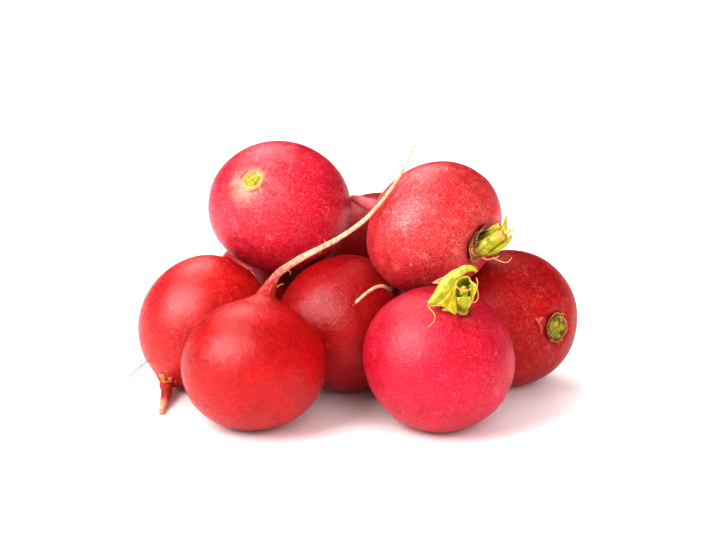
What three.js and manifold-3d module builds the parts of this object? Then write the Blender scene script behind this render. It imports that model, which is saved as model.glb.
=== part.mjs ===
// A loose heap of small round red radishes with their leaves trimmed off, in millimetres.
// +Z is up. The heap stands on z = 0 with the middle of its box at x = y = 0.

import * as THREE from "three";
import { mergeVertices } from "three/addons/utils/BufferGeometryUtils.js";
import Module from "manifold-3d";

const wasm = await Module();
wasm.setup();

// Driving dimensions.
const SIDES = 20; // sides round a globe and its taproot
const LATITUDES = 9; // rings between the crown's shoulder and the root's foot
const STALK_SIDES = 6; // sides round a leaf stalk
const SHOULDER = 1.7; // width of the shoulder round the crown's seat
const DIP = 0.5; // how far the seat lies under the shoulder, where a radish gives no other dip
const SEAT_GAP = 0.28; // clearance under a crown and round it
const ROOT_FOOT = 6; // radius at which a globe starts to draw into its taproot
const SHIFT = [0.5, -37.3]; // moves the middle of the heap's box to x = y = 0

const SKIN = { color: 0xd4213a, roughness: 0.35, metalness: 0 };
const LEAF = { color: 0xc4cf4e, roughness: 0.5, metalness: 0 };

// Each radish: middle of the globe, its radius, its height along the crown axis as a share
// of the width, the crown's direction, and the direction and amount it is drawn out in.
// root: radius at the foot, rise of the foot, then the taproot's path with a radius a point.
// seat: radius of the flat at the crown. crown: height of the leaf base, then the stalks,
// each a path with the width at its points, a thickness, and the direction of its width.
const RADISHES = [
  {
    name: "front_left", at: [-26.0, -5.0, 15.9], radius: 17.1, squash: 0.94,
    crown: [-0.21, -0.28, -0.937], stretch: [0.925, 0.111, 0.364], by: 1.055,
    root: {
      radius: 2.3, rise: 1.0,
      path: [
        [-21.2, 1.6, 35.4, 1.7], [-19.8, 2.1, 37.3, 1.4], [-18.1, 2.6, 38.4, 1.1], [-14.5, 4.0, 40.6, 0.9],
        [-9.8, 5.5, 42.8, 0.75], [-4.9, 7.0, 45.0, 0.68], [0.7, 8.8, 48.6, 0.6], [3.5, 9.9, 51.2, 0.52],
        [6.4, 11.1, 54.4, 0.45], [9.8, 13.0, 58.9, 0.38], [12.3, 15.2, 63.6, 0.33], [13.6, 16.3, 65.9, 0.3],
      ],
    },
    seat: 2.6, dip: 1.3, leafBase: 0.7, stalks: [],
  },
  {
    name: "left", at: [-40.7, 25.7, 16.8], radius: 15.9, squash: 0.97,
    crown: [0.478, 0.422, 0.77], stretch: [0.599, 0.234, 0.765], by: 1.17,
    root: {
      radius: 1.6, rise: 0.7,
      path: [[-49.6, 14.0, 1.9, 1.3], [-49.5, 9.5, 1.3, 0.95], [-49.4, 5.6, 0.9, 0.7], [-49.6, 2.4, 0.6, 0.45]],
    },
    seat: 2.6, leafBase: 0.7, stalks: [],
  },
  {
    name: "top_left", at: [-21.0, 38.7, 44.0], radius: 17.15, squash: 0.96,
    crown: [-0.369, -0.679, 0.634], stretch: [0.99, -0.04, -0.131], by: 1.095,
    root: {
      radius: 1.6, rise: 1.5,
      path: [[-12.9, 53.6, 30.8, 1.1], [-11.6, 57.4, 29.4, 0.8], [-11.0, 61.0, 29.8, 0.5], [-10.4, 64.4, 31.2, 0.35]],
    },
    seat: 2.4, leafBase: 0.8, stalks: [],
  },
  {
    name: "middle", at: [-3.3, 23.6, 17.0], radius: 17.6, squash: 0.96,
    crown: [-0.631, 0.39, -0.671], stretch: [0.919, 0.116, 0.378], by: 1.053,
    root: {
      radius: 0.8, rise: 0.2,
      path: [
        [7.7, 14.4, 28.9, 0.5], [6.9, 12.9, 29.9, 0.45], [6.0, 11.8, 30.7, 0.45], [4.4, 10.6, 31.0, 0.45],
        [2.0, 8.8, 30.2, 0.42], [-1.1, 7.0, 28.0, 0.38],
      ],
    },
    seat: 3.0, leafBase: 0.9, stubs: { count: 4, tall: 1.6, vary: 1.2, lean: 0.15, width: 2.0, thick: 1.2 }, stalks: [],
  },
  {
    name: "top_right", at: [18.8, 18.0, 44.0], radius: 15.8, squash: 0.95,
    crown: [0.757, -0.65, -0.06], stretch: [0.792, 0.179, 0.584], by: 1.135,
    root: {
      radius: 1.7, rise: 1.2,
      path: [[4.6, 30.2, 46.0, 1.35], [1.2, 35.6, 46.4, 1.1], [-0.4, 41.0, 46.2, 0.9], [-2.6, 46.5, 45.8, 0.6]],
    },
    seat: 4.2, leafBase: 1.5,
    stalks: [
      { path: [[30.0, 7.6, 43.6, 4.2], [32.8, 5.4, 45.4, 4.0], [34.4, 4.6, 47.4, 3.0], [35.2, 4.4, 48.8, 2.2]], thick: 2.6, wide: [0.5, 0.6, -0.6] },
      { path: [[30.4, 8.6, 45.0, 2.4], [32.6, 7.0, 47.2, 2.2], [34.2, 6.0, 49.0, 1.6]], thick: 1.4, wide: [0.4, -0.6, -0.6] },
      { path: [[33.2, 5.4, 46.4, 1.4], [34.9, 5.0, 48.8, 1.3], [35.6, 5.2, 50.6, 0.9]], thick: 0.9, wide: [0.6, -0.8, 0] },
      { path: [[32.8, 5.0, 44.6, 1.8], [35.4, 3.8, 46.4, 1.5], [37.2, 3.5, 47.5, 0.9]], thick: 0.9, wide: [0, 0.5, 0.8] },
      { path: [[30.7, 7.6, 42.5, 2.2], [33.0, 4.8, 43.2, 2.2], [35.4, 3.0, 44.4, 1.5], [36.8, 2.9, 45.9, 1.0]], thick: 1.4, wide: [0.3, 0.6, 0.7] },
    ],
  },
  {
    name: "front_right", at: [19.2, -4.3, 17.3], radius: 17.9, squash: 0.98,
    crown: [0.293, -0.38, 0.877], stretch: [0.931, -0.107, -0.349], by: 1.045,
    root: {
      radius: 1.5, rise: 0.6,
      path: [[13.4, 5.4, 1.5, 1.2], [12.2, 9.6, 1.0, 0.85], [11.2, 13.4, 0.8, 0.55], [10.8, 16.6, 0.7, 0.35]],
    },
    seat: 2.6, leafBase: 0.9,
    stalks: [
      { path: [[24.3, -10.7, 33.2, 3.4], [24.9, -11.8, 35.4, 4.4], [25.2, -12.8, 38.1, 4.6], [24.6, -13.0, 40.4, 3.8], [23.8, -12.2, 41.8, 2.4]], thick: 2.4, wide: [1, 0.1, 0] },
      { path: [[28.0, -11.4, 41.7, 0.9], [26.3, -11.6, 42.8, 1.5], [24.6, -12.0, 42.9, 1.8], [22.5, -12.0, 41.7, 2.1], [20.4, -12.2, 39.6, 2.2], [18.3, -12.5, 37.2, 2.1], [16.4, -13.0, 34.9, 1.2]], thick: 1.4, wide: [0.5, -0.4, -0.6] },
      { path: [[22.7, -12.2, 40.9, 1.6], [21.6, -12.8, 38.0, 3.4], [21.2, -13.6, 35.6, 4.4], [21.0, -14.8, 33.4, 3.2]], thick: 0.8, wide: [1, 0, 0.25] },
      { path: [[20.4, -12.1, 39.7, 1.5], [18.4, -11.0, 39.1, 1.2], [17.0, -9.9, 38.5, 0.8]], thick: 0.8, wide: [0.3, 0, -1] },
    ],
  },
  {
    name: "right", at: [38.3, 26.4, 17.4], radius: 17.8, squash: 0.96,
    crown: [0.666, -0.739, 0.102], stretch: [0.98, 0.058, 0.189], by: 1.03,
    root: {
      radius: 1.6, rise: 1.5,
      path: [[24.2, 42.2, 13.6, 1.2], [21.7, 46.2, 10.0, 0.95], [20.7, 50.6, 6.0, 0.7], [21.6, 54.6, 3.4, 0.45]],
    },
    seat: 4.0, leafBase: 0.8, stubs: { count: 6, tall: 0.9, vary: 0.6, lean: 0.2, width: 2.2, thick: 1.1 }, stalks: [],
  },
  {
    name: "back", at: [5.9, 72.8, 19.0], radius: 18.8, squash: 0.96,
    crown: [0.301, 0.723, 0.622], stretch: [0.289, 0.28, 0.916], by: 1.058,
    root: {
      radius: 1.6, rise: 1.2,
      path: [[-1.2, 56.2, 4.4, 1.2], [-2.0, 52.2, 2.0, 0.85], [-2.2, 48.0, 1.0, 0.6], [-1.4, 44.6, 0.7, 0.4]],
    },
    seat: 3.2, leafBase: 1.1, stubs: { count: 5, tall: 6.0, vary: 4.0, lean: 0.3, width: 2.6, thick: 1.5 }, stalks: [],
  },
  {
    name: "back_left", at: [-24.4, 54.5, 15.6], radius: 16.1, squash: 0.95,
    crown: [0.583, -0.713, 0.389], stretch: [0.994, 0.032, 0.106], by: 1.042,
    root: {
      radius: 1.6, rise: 1.4,
      path: [[-36.6, 69.6, 6.4, 1.25], [-39.6, 74.0, 3.2, 1.0], [-41.2, 79.6, 1.5, 0.75], [-40.8, 85.6, 0.9, 0.5], [-38.8, 90.6, 0.7, 0.35]],
    },
    seat: 3.0, leafBase: 1.0, stubs: { count: 3, tall: 1.4, vary: 1.2, lean: 0.1, width: 2.2, thick: 1.3 }, stalks: [],
  },
];

const UP = new THREE.Vector3(0, 0, 1);

function vector([x, y, z]) {
  return new THREE.Vector3(x, y, z);
}

// A closed skin through a row of rings, each a middle with two half-width vectors. The
// rings run the way that u cross v points, and the first and the last are points.
function skin(rings, sides) {
  const profile = rings.map((ring, j) => new THREE.Vector2(ring.u.length(), j));
  const geometry = new THREE.LatheGeometry(profile, sides);
  const position = geometry.attributes.position;
  const point = new THREE.Vector3();
  for (let i = 0; i <= sides; i++) {
    const turn = ((i % sides) / sides) * 2 * Math.PI;
    rings.forEach((ring, j) => {
      point.copy(ring.at).addScaledVector(ring.u, Math.cos(turn)).addScaledVector(ring.v, Math.sin(turn));
      position.setXYZ(i * rings.length + j, point.x, point.y, point.z);
    });
  }
  geometry.deleteAttribute("normal");
  geometry.deleteAttribute("uv");
  return mergeVertices(geometry, 1e-4);
}

function solid(geometry) {
  const source = geometry.index.array;
  const triangles = [];
  for (let i = 0; i < source.length; i += 3) {
    const [a, b, c] = [source[i], source[i + 1], source[i + 2]];
    if (a !== b && b !== c && c !== a) triangles.push(a, b, c);
  }
  return new wasm.Manifold(new wasm.Mesh({
    numProp: 3,
    vertProperties: new Float32Array(geometry.attributes.position.array),
    triVerts: new Uint32Array(triangles),
  }));
}

function mesh(name, body, finish) {
  const { vertProperties, triVerts } = body.getMesh();
  const geometry = new THREE.BufferGeometry();
  geometry.setAttribute("position", new THREE.BufferAttribute(new Float32Array(vertProperties), 3));
  geometry.setIndex(new THREE.BufferAttribute(new Uint32Array(triVerts), 1));
  geometry.computeVertexNormals();
  const made = new THREE.Mesh(geometry, new THREE.MeshStandardMaterial(finish));
  made.name = name;
  return made;
}

// The radish's own frame: the crown axis is its z, and the drawing out comes after the turn.
function frameOf(radish) {
  const turn = new THREE.Quaternion().setFromUnitVectors(UP, vector(radish.crown).normalize());
  const along = vector(radish.stretch).normalize();
  const direction = (x, y, z) => {
    const d = new THREE.Vector3(x, y, z).applyQuaternion(turn);
    return d.addScaledVector(along, (radish.by - 1) * d.dot(along));
  };
  return { direction, point: (x, y, z) => direction(x, y, z).add(vector(radish.at)) };
}

function ringAcross(frame, radius, z) {
  return { at: frame.point(0, 0, z), u: frame.direction(radius, 0, 0), v: frame.direction(0, radius, 0) };
}

function heightAt(radish, radius) {
  return radish.radius * radish.squash * Math.sqrt(1 - (radius / radish.radius) ** 2);
}

function seatHeight(radish) {
  return heightAt(radish, radish.seat + 1) - (radish.dip ?? DIP);
}

// Rings along a path whose points carry a half width. The rings face the way they run.
function ringsAlong(path, first, steps, flat, across) {
  const curve = new THREE.CatmullRomCurve3(path.map(vector), false, "centripetal");
  const last = path.length - 1;
  const rings = [];
  let side = across.clone();
  for (let k = first * steps; k <= last * steps; k++) {
    const t = k / (last * steps);
    const i = Math.min(Math.floor(k / steps), last - 1);
    const half = THREE.MathUtils.lerp(path[i][3], path[i + 1][3], k / steps - i);
    const along = curve.getTangent(t);
    side = side.clone().addScaledVector(along, -side.dot(along)).normalize();
    const up = along.clone().cross(side);
    rings.push({
      at: curve.getPoint(t),
      u: side.clone().multiplyScalar(half),
      v: up.multiplyScalar(flat === null ? half : flat / 2),
    });
  }
  return rings;
}

function tip(ring) {
  return { at: ring.at.clone(), u: new THREE.Vector3(), v: new THREE.Vector3() };
}

// Globe and taproot in one skin, from the middle of the crown's seat to the root's tip.
function globe(radish) {
  const frame = frameOf(radish);
  const { root, seat, radius } = radish;
  const floor = seatHeight(radish);
  const rings = [ringAcross(frame, 0, floor), ringAcross(frame, seat, floor)];
  rings.push(ringAcross(frame, seat + 0.55 * SHOULDER, heightAt(radish, seat + 0.55 * SHOULDER) - 0.12));
  const start = Math.asin((seat + SHOULDER) / radius);
  const end = Math.PI - Math.asin(ROOT_FOOT / radius);
  for (let i = 0; i <= LATITUDES; i++) {
    const angle = THREE.MathUtils.lerp(start, end, i / LATITUDES);
    rings.push(ringAcross(frame, radius * Math.sin(angle), radius * radish.squash * Math.cos(angle)));
  }
  for (const share of [0.4, 0.75, 1]) {
    const width = THREE.MathUtils.lerp(ROOT_FOOT, root.radius, share);
    rings.push(ringAcross(frame, width, -heightAt(radish, width) - root.rise * share ** 2.2));
  }
  const foot = rings[rings.length - 1];
  const inner = frame.point(0, 0, -heightAt(radish, root.radius) + 3);
  const path = [[...inner.toArray(), root.radius], [...foot.at.toArray(), root.radius], ...root.path];
  const back = ringsAlong(path, 1, 2, null, foot.u);
  for (const ring of back.slice(1)) rings.push({ ...ring, v: ring.v.negate() });
  rings.push(tip(rings[rings.length - 1]));
  return solid(skin(rings.reverse(), SIDES));
}

function stalk({ path, thick, wide }) {
  const halves = path.map(([x, y, z, width]) => [x, y, z, width / 2]);
  const rings = ringsAlong(halves, 0, 2, thick, vector(wide));
  return solid(skin([tip(rings[0]), ...rings, tip(rings[rings.length - 1])], STALK_SIDES));
}

// The leaf base sits in the seat with a little clearance, and carries what is left of the stalks.
function crown(radish) {
  const frame = frameOf(radish);
  const floor = seatHeight(radish) + SEAT_GAP;
  const wide = radish.seat - SEAT_GAP;
  const rise = radish.leafBase;
  const rings = [
    ringAcross(frame, 0, floor),
    ringAcross(frame, wide, floor),
    ringAcross(frame, wide * 0.96, floor + rise * 0.6),
    ringAcross(frame, wide * 0.72, floor + rise * 0.9),
    ringAcross(frame, wide * 0.62, floor + rise * 1.15),
    ringAcross(frame, 0, floor + rise * 1.2),
  ];
  let body = solid(skin(rings, 2 * STALK_SIDES));
  for (const one of radish.stalks) body = body.add(stalk(one));
  const { count, tall, vary, lean, width, thick } = radish.stubs ?? { count: 0 };
  for (let i = 0; i < count; i++) {
    const turn = (i / count) * 2 * Math.PI + 0.35 * Math.sin(i * 2.7);
    const out = wide * 0.52;
    const height = tall + vary * Math.abs(Math.sin(i * 1.9 + 0.6));
    const at = (away, up) => frame.point(away * Math.cos(turn), away * Math.sin(turn), floor + up).toArray();
    const path = [
      [...at(out, 0.25), width],
      [...at(out + lean * height * 0.3, rise + height * 0.5), width * 0.92],
      [...at(out + lean * height, rise + height), width * 0.75],
    ];
    const across = frame.direction(-Math.sin(turn), Math.cos(turn), 0).toArray();
    body = body.add(stalk({ path, thick, wide: across }));
  }
  return body;
}

const ground = new THREE.BoxGeometry(300, 300, 20);
ground.translate(0, 0, -10);
ground.deleteAttribute("normal");
ground.deleteAttribute("uv");
const under = solid(mergeVertices(ground, 1e-4));

const heap = new THREE.Group();
for (const radish of RADISHES) {
  heap.add(mesh(`radish_${radish.name}`, globe(radish).subtract(under), SKIN));
  heap.add(mesh(`crown_${radish.name}`, crown(radish).subtract(under), LEAF));
}
heap.position.set(SHIFT[0], SHIFT[1], 0);

const group = new THREE.Group();
group.add(heap);

export default group;
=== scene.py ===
"""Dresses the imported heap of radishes: fine skins, cut leaf stalks, peeled rims and root hairs."""

from __future__ import annotations

import logging
import math
from dataclasses import dataclass, field
from enum import Enum
from typing import Sequence

import bpy
import numpy as np
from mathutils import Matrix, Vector


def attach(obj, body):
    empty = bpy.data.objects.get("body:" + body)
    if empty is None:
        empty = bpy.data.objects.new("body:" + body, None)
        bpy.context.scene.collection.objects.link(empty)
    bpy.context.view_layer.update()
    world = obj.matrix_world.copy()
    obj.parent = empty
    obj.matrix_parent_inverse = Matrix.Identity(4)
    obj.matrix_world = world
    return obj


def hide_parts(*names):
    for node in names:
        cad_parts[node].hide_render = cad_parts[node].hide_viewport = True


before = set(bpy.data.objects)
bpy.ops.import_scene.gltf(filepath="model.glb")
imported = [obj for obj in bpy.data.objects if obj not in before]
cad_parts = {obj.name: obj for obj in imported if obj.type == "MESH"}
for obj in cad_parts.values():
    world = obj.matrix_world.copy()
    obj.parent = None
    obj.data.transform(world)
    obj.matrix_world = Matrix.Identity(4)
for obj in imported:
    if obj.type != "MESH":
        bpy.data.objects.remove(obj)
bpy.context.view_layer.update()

logging.basicConfig(level=logging.INFO, format="%(message)s")
log = logging.getLogger("radishes")

MM = 0.001
TAU = 2 * math.pi
SHIFT = np.array([0.5, -37.3, 0.0])  # from the heap's own millimetres to the row frame
UP = np.array([0.0, 0.0, 1.0])
SIDES = 96  # round a globe
ROOT_FOOT = 6.0  # radius at which a globe starts to draw into its taproot, in mm
FAR = 40.0  # stands for a place that is nowhere near the crown, in mm
THINNEST = 0.02  # height in mm below which no point goes, so that nothing is under the ground
LEAF_SLOT = "leaf_stalk"
Array = np.ndarray
Colour = tuple[float, float, float]
Place = tuple[float, float, float]


def srgb(red: float, green: float, blue: float) -> Colour:
    """Turns a 0 to 255 display colour into the linear one that shaders take.

    Args:
        red: display red.
        green: display green.
        blue: display blue.

    Returns:
        The linear colour.
    """
    return tuple(
        c / 12.92 if c <= 0.04045 else ((c + 0.055) / 1.055) ** 2.4
        for c in (red / 255, green / 255, blue / 255)
    )


def unit(v: Sequence[float]) -> Array:
    """Gives v at length 1."""
    a = np.asarray(v, float)
    return a / np.linalg.norm(a)


def ease(low: float, high: float, x: Array) -> Array:
    """Rises smoothly from 0 at low to 1 at high."""
    t = np.clip((np.asarray(x, float) - low) / (high - low), 0, 1)
    return t * t * (3 - 2 * t)


def circle(count: int) -> Array:
    """Gives evenly spaced turns round a full circle, in radians."""
    return np.arange(count) / count * TAU


class Waves:
    """Smooth seeded unevenness: a sum of sine waves in random directions."""

    def __init__(self, seed: int, count: int = 14) -> None:
        """Draws the waves.

        Args:
            seed: fixes the waves.
            count: how many are summed.
        """
        rng = np.random.default_rng(seed)
        way = rng.normal(size=(count, 3))
        way /= np.linalg.norm(way, axis=1)[:, None]
        self.way = way * rng.uniform(0.6, 1.6, (count, 1))
        self.phase = rng.uniform(0, TAU, count)
        self.share = rng.uniform(0.5, 1.0, count)
        self.share /= math.sqrt((self.share**2).sum() / 2)

    def at(self, points: Array, size: float) -> Array:
        """Reads the unevenness.

        Args:
            points: (..., 3) places.
            size: rough width of one lump in the same unit.

        Returns:
            Values that mostly lie between -1.5 and 1.5.
        """
        turn = points @ self.way.T * (math.pi / size) + self.phase
        return (np.sin(turn) * self.share).sum(-1) / 1.4


# ---- plans -------------------------------------------------------------------------------


class SkinKind(Enum):
    """The record's material slots for the skins."""

    CORAL = "skin_coral"
    PINK = "skin_pink"
    RED = "skin_red"
    DARK = "skin_dark"


@dataclass(frozen=True)
class SkinFinish:
    """The look of one radish's skin."""

    kind: SkinKind
    deep: Colour
    bright: Colour
    blush: Colour  # where the skin is rubbed
    russet: float = 0.4  # strength of the brown specks at the crown
    scuff: float = 0.4  # strength of the rubbed marks
    rough: float = 0.34
    gloss: float = 0.42
    rim: Colour = srgb(150, 84, 50)  # band round the crown's seat: tan or pale skin, or a darker red; the top right radish's dark red is painted shade of its dipped seat
    rim_width: float = 1.2
    pale_from: float = 0.25  # share of the taproot at which it starts to pale
    pale_to: float = 0.8
    tail: Colour = srgb(238, 194, 154)
    # a pale streaked patch near the crown: partly real pale skin, partly a painted highlight
    scar_and_highlight: Place | None = None


@dataclass(frozen=True)
class StubRing:
    """A ring of cut leaf stalks round the crown."""

    count: int
    tall: float
    vary: float  # how much taller the tallest is
    lean: float
    width: float
    thick: float


@dataclass(frozen=True)
class RadishPlan:
    """The sizes of one radish, in mm in the heap's frame."""

    name: str
    seed: int
    at: Place  # middle of the globe
    radius: float  # before it is drawn out
    squash: float  # height over width
    crown: Place  # where the crown points
    stretch: Place  # which way the globe is drawn out
    by: float  # and how much
    root_radius: float  # of the taproot where it leaves the globe
    rise: float  # how far the globe draws out into it
    path: tuple[tuple[float, float, float, float], ...]  # x, y, z and radius along the taproot
    seat: float  # radius of the crown's seat
    leaf_base: float  # height of the leaf base
    finish: SkinFinish
    dip: float = 0.5  # how deep the seat lies
    stubs: StubRing | None = None

    def height_at(self, radius: Array | float) -> Array | float:
        """Height of the globe's half at a distance from its axis."""
        share = np.clip(1 - (np.asarray(radius, float) / self.radius) ** 2, 0, 1)
        return self.radius * self.squash * np.sqrt(share)

    @property
    def seat_height(self) -> float:
        """Height of the crown's seat along the axis."""
        return float(self.height_at(self.seat + 1)) - self.dip

    def top_height(self, radius: Array) -> Array:
        """Height of the skin's upper half, which dips at the crown's seat."""
        dip = float(self.height_at(0)) - self.seat_height
        return self.height_at(radius) - dip * np.exp(-((radius / (self.seat + 1.0)) ** 4))


CORAL = SkinFinish(
    SkinKind.CORAL, srgb(152, 0, 6), srgb(180, 8, 12), srgb(214, 88, 84), russet=0.12, scuff=0.4,
    rough=0.31, pale_from=0.0, pale_to=0.3, tail=srgb(232, 182, 150),
)
CORAL_LEFT = SkinFinish(
    SkinKind.CORAL, srgb(164, 0, 6), srgb(196, 12, 14), srgb(226, 106, 98), russet=0.2, scuff=0.7,
    rough=0.3, gloss=0.5, pale_from=0.5, pale_to=0.85, tail=srgb(226, 168, 134),
)
PINK = SkinFinish(
    SkinKind.PINK, srgb(166, 0, 28), srgb(204, 12, 54), srgb(234, 116, 132), russet=0.8, scuff=1.05,
    rough=0.3, gloss=0.56,
    # its pale patch by the crown is partly pale skin, partly a painted highlight
    rim=srgb(222, 150, 104), rim_width=1.3, scar_and_highlight=(-30.0, 25.9, 53.4),
)
PINK_TOP = SkinFinish(
    SkinKind.PINK, srgb(158, 0, 22), srgb(202, 40, 50), srgb(230, 128, 124), russet=1.3, scuff=1.3,
    # its dark red rim colour is painted shade in the dipped seat round the crown
    gloss=0.62, rim=srgb(138, 4, 12), rim_width=3.4, pale_from=-0.5, pale_to=0.6, tail=srgb(218, 104, 114),
)
PINK_FRONT = SkinFinish(
    SkinKind.PINK, srgb(162, 0, 32), srgb(192, 8, 50), srgb(222, 98, 124), russet=0.4, scuff=0.8,
    rim=srgb(120, 20, 20), rim_width=1.3,
)
RED = SkinFinish(
    SkinKind.RED, srgb(132, 0, 8), srgb(160, 6, 16), srgb(200, 72, 78), russet=0.35, scuff=0.4, gloss=0.25,
)
RED_THREAD = SkinFinish(
    SkinKind.RED, srgb(142, 0, 6), srgb(176, 4, 12), srgb(214, 84, 90), russet=0.3, scuff=0.42,
    rough=0.31, gloss=0.46, pale_from=0.12, pale_to=0.34,
)
DARK = SkinFinish(
    SkinKind.DARK, srgb(134, 0, 6), srgb(170, 6, 16), srgb(212, 92, 90), russet=0.6, scuff=0.85,
    gloss=0.22, rim=srgb(96, 8, 10), rim_width=1.6,
)

RADISHES: tuple[RadishPlan, ...] = (
    RadishPlan(
        name="front_left", seed=11, at=(-26.0, -5.0, 15.9), radius=17.1, squash=0.94,
        crown=(-0.15, -0.28, -0.948), stretch=(0.925, 0.111, 0.364), by=1.055,
        root_radius=2.3, rise=1.0, seat=1.2, leaf_base=0.2, finish=CORAL, dip=0.1,
        path=(
            (-21.3, 1.6, 35.3, 1.12), (-19.9, 2.1, 37.2, 1.0), (-18.1, 2.6, 38.4, 0.9),
            (-14.5, 4.0, 40.4, 0.8), (-9.8, 5.5, 42.5, 0.7), (-4.9, 7.0, 44.8, 0.64), (0.7, 8.8, 48.4, 0.56),
            (3.5, 9.9, 51.0, 0.5), (6.4, 11.1, 54.4, 0.45), (9.8, 13.0, 58.9, 0.38), (12.3, 15.2, 63.6, 0.33),
            (13.6, 16.3, 65.9, 0.2),
        ),
    ),
    RadishPlan(
        name="left", seed=23, at=(-40.7, 25.7, 16.8), radius=15.9, squash=0.97,
        crown=(0.478, 0.422, 0.77), stretch=(0.599, 0.234, 0.765), by=1.17,
        root_radius=1.6, rise=0.7, seat=2.6, leaf_base=0.7, finish=CORAL_LEFT,
        path=(
            (-49.3, 14.0, 2.1, 1.5), (-49.3, 9.5, 1.5, 1.15), (-49.4, 5.6, 0.9, 0.8), (-49.6, 2.4, 0.6, 0.45),
        ),
    ),
    RadishPlan(
        name="top_left", seed=37, at=(-21.0, 38.7, 44.0), radius=17.15, squash=0.96,
        crown=(-0.369, -0.679, 0.634), stretch=(0.99, -0.04, -0.131), by=1.095,
        root_radius=1.6, rise=1.5, seat=2.4, leaf_base=0.8, finish=PINK,
        path=(
            (-12.9, 53.6, 30.8, 1.1), (-11.6, 57.4, 29.4, 0.8), (-11.0, 61.0, 29.8, 0.5),
            (-10.4, 64.4, 31.2, 0.35),
        ),
    ),
    RadishPlan(
        name="middle", seed=41, at=(-3.3, 23.6, 17.0), radius=17.6, squash=0.96,
        crown=(-0.631, 0.39, -0.671), stretch=(0.919, 0.116, 0.378), by=1.053,
        root_radius=0.8, rise=0.2, seat=3.0, leaf_base=0.9, finish=RED_THREAD,
        stubs=StubRing(4, 1.6, 1.2, 0.15, 2.0, 1.2),
        path=(
            (7.7, 14.4, 28.9, 0.5), (6.9, 12.9, 29.9, 0.45), (6.0, 11.8, 30.7, 0.45), (4.4, 10.6, 31.0, 0.45),
            (2.0, 8.8, 30.2, 0.42), (-1.1, 7.0, 28.0, 0.38),
        ),
    ),
    RadishPlan(
        name="top_right", seed=53, at=(18.6, 18.0, 44.15), radius=15.95, squash=0.95,
        crown=(0.752, -0.645, -0.13), stretch=(0.792, 0.179, 0.584), by=1.135,
        root_radius=1.7, rise=1.2, seat=3.6, leaf_base=0.5, finish=PINK_TOP, dip=1.3,
        path=(
            (4.4, 30.6, 46.2, 1.65), (1.4, 36.0, 45.7, 1.5), (-0.1, 41.0, 45.1, 1.3),
            (-1.9, 46.5, 44.3, 0.85),
        ),
    ),
    RadishPlan(
        name="front_right", seed=67, at=(19.2, -4.3, 17.3), radius=17.9, squash=0.98,
        crown=(0.293, -0.38, 0.877), stretch=(0.931, -0.107, -0.349), by=1.045,
        root_radius=1.5, rise=0.6, seat=1.9, leaf_base=0.6, finish=PINK_FRONT, dip=1.0,
        path=(
            (13.4, 5.4, 1.5, 1.2), (12.2, 9.6, 1.0, 0.85), (11.2, 13.4, 0.8, 0.55), (10.8, 16.6, 0.7, 0.35),
        ),
    ),
    RadishPlan(
        name="right", seed=71, at=(38.3, 26.4, 17.4), radius=17.8, squash=0.96,
        crown=(0.666, -0.739, 0.102), stretch=(0.98, 0.058, 0.189), by=1.03,
        root_radius=1.6, rise=1.5, seat=3.3, leaf_base=0.5, finish=DARK,
        stubs=StubRing(5, 0.5, 0.6, 0.15, 1.9, 1.0),
        path=(
            (24.2, 42.2, 13.6, 1.2), (21.7, 46.2, 10.0, 0.95), (20.7, 50.6, 6.0, 0.7),
            (21.6, 54.6, 3.4, 0.45),
        ),
    ),
    RadishPlan(
        name="back", seed=83, at=(5.9, 72.8, 19.0), radius=18.8, squash=0.96,
        crown=(0.301, 0.723, 0.622), stretch=(0.289, 0.28, 0.916), by=1.058,
        root_radius=1.6, rise=1.2, seat=3.2, leaf_base=1.1, finish=RED,
        stubs=StubRing(5, 5.0, 2.4, 0.3, 2.6, 1.5),
        path=(
            (-1.2, 56.2, 4.4, 1.2), (-2.0, 52.2, 2.0, 0.85), (-2.2, 48.0, 1.0, 0.6), (-1.4, 44.6, 0.7, 0.4),
        ),
    ),
    RadishPlan(
        name="back_left", seed=97, at=(-24.4, 54.5, 15.6), radius=16.1, squash=0.95,
        crown=(0.583, -0.713, 0.389), stretch=(0.994, 0.032, 0.106), by=1.042,
        root_radius=1.6, rise=1.4, seat=3.0, leaf_base=1.0, finish=CORAL,
        stubs=StubRing(3, 1.4, 1.2, 0.1, 2.2, 1.3),
        path=(
            (-36.6, 69.6, 6.4, 1.25), (-39.6, 74.0, 3.2, 1.0), (-41.2, 79.6, 1.5, 0.75),
            (-40.8, 85.6, 0.9, 0.5), (-38.8, 90.6, 0.7, 0.35),
        ),
    ),
)


# ---- shader maths ------------------------------------------------------------------------


class Flow:
    """One socket's output, with arithmetic that adds Math nodes."""

    def __init__(self, maker: Nodes, socket: bpy.types.NodeSocket) -> None:
        """Wraps a socket.

        Args:
            maker: the maker of nodes whose tree it is in.
            socket: an output socket.
        """
        self.maker = maker
        self.socket = socket

    def __add__(self, other: Flow | float) -> Flow:
        """Adds."""
        return self.maker.maths("ADD", self, other)

    def __sub__(self, other: Flow | float) -> Flow:
        """Subtracts."""
        return self.maker.maths("SUBTRACT", self, other)

    def __rsub__(self, other: float) -> Flow:
        """Subtracts from a number."""
        return self.maker.maths("SUBTRACT", other, self)

    def __mul__(self, other: Flow | float) -> Flow:
        """Multiplies."""
        return self.maker.maths("MULTIPLY", self, other)

    __radd__ = __add__
    __rmul__ = __mul__

    def between(self, low: float, high: float) -> Flow:
        """Rises smoothly from 0 at low to 1 at high.

        Args:
            low: where it starts; may be above high for a falling edge.
            high: where it ends.

        Returns:
            The eased value.
        """
        node = self.maker.node(
            "ShaderNodeMapRange", {"interpolation_type": "SMOOTHSTEP", "clamp": True},
            {0: self, 1: low, 2: high, 3: 0.0, 4: 1.0},
        )
        return Flow(self.maker, node.outputs[0])


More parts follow.
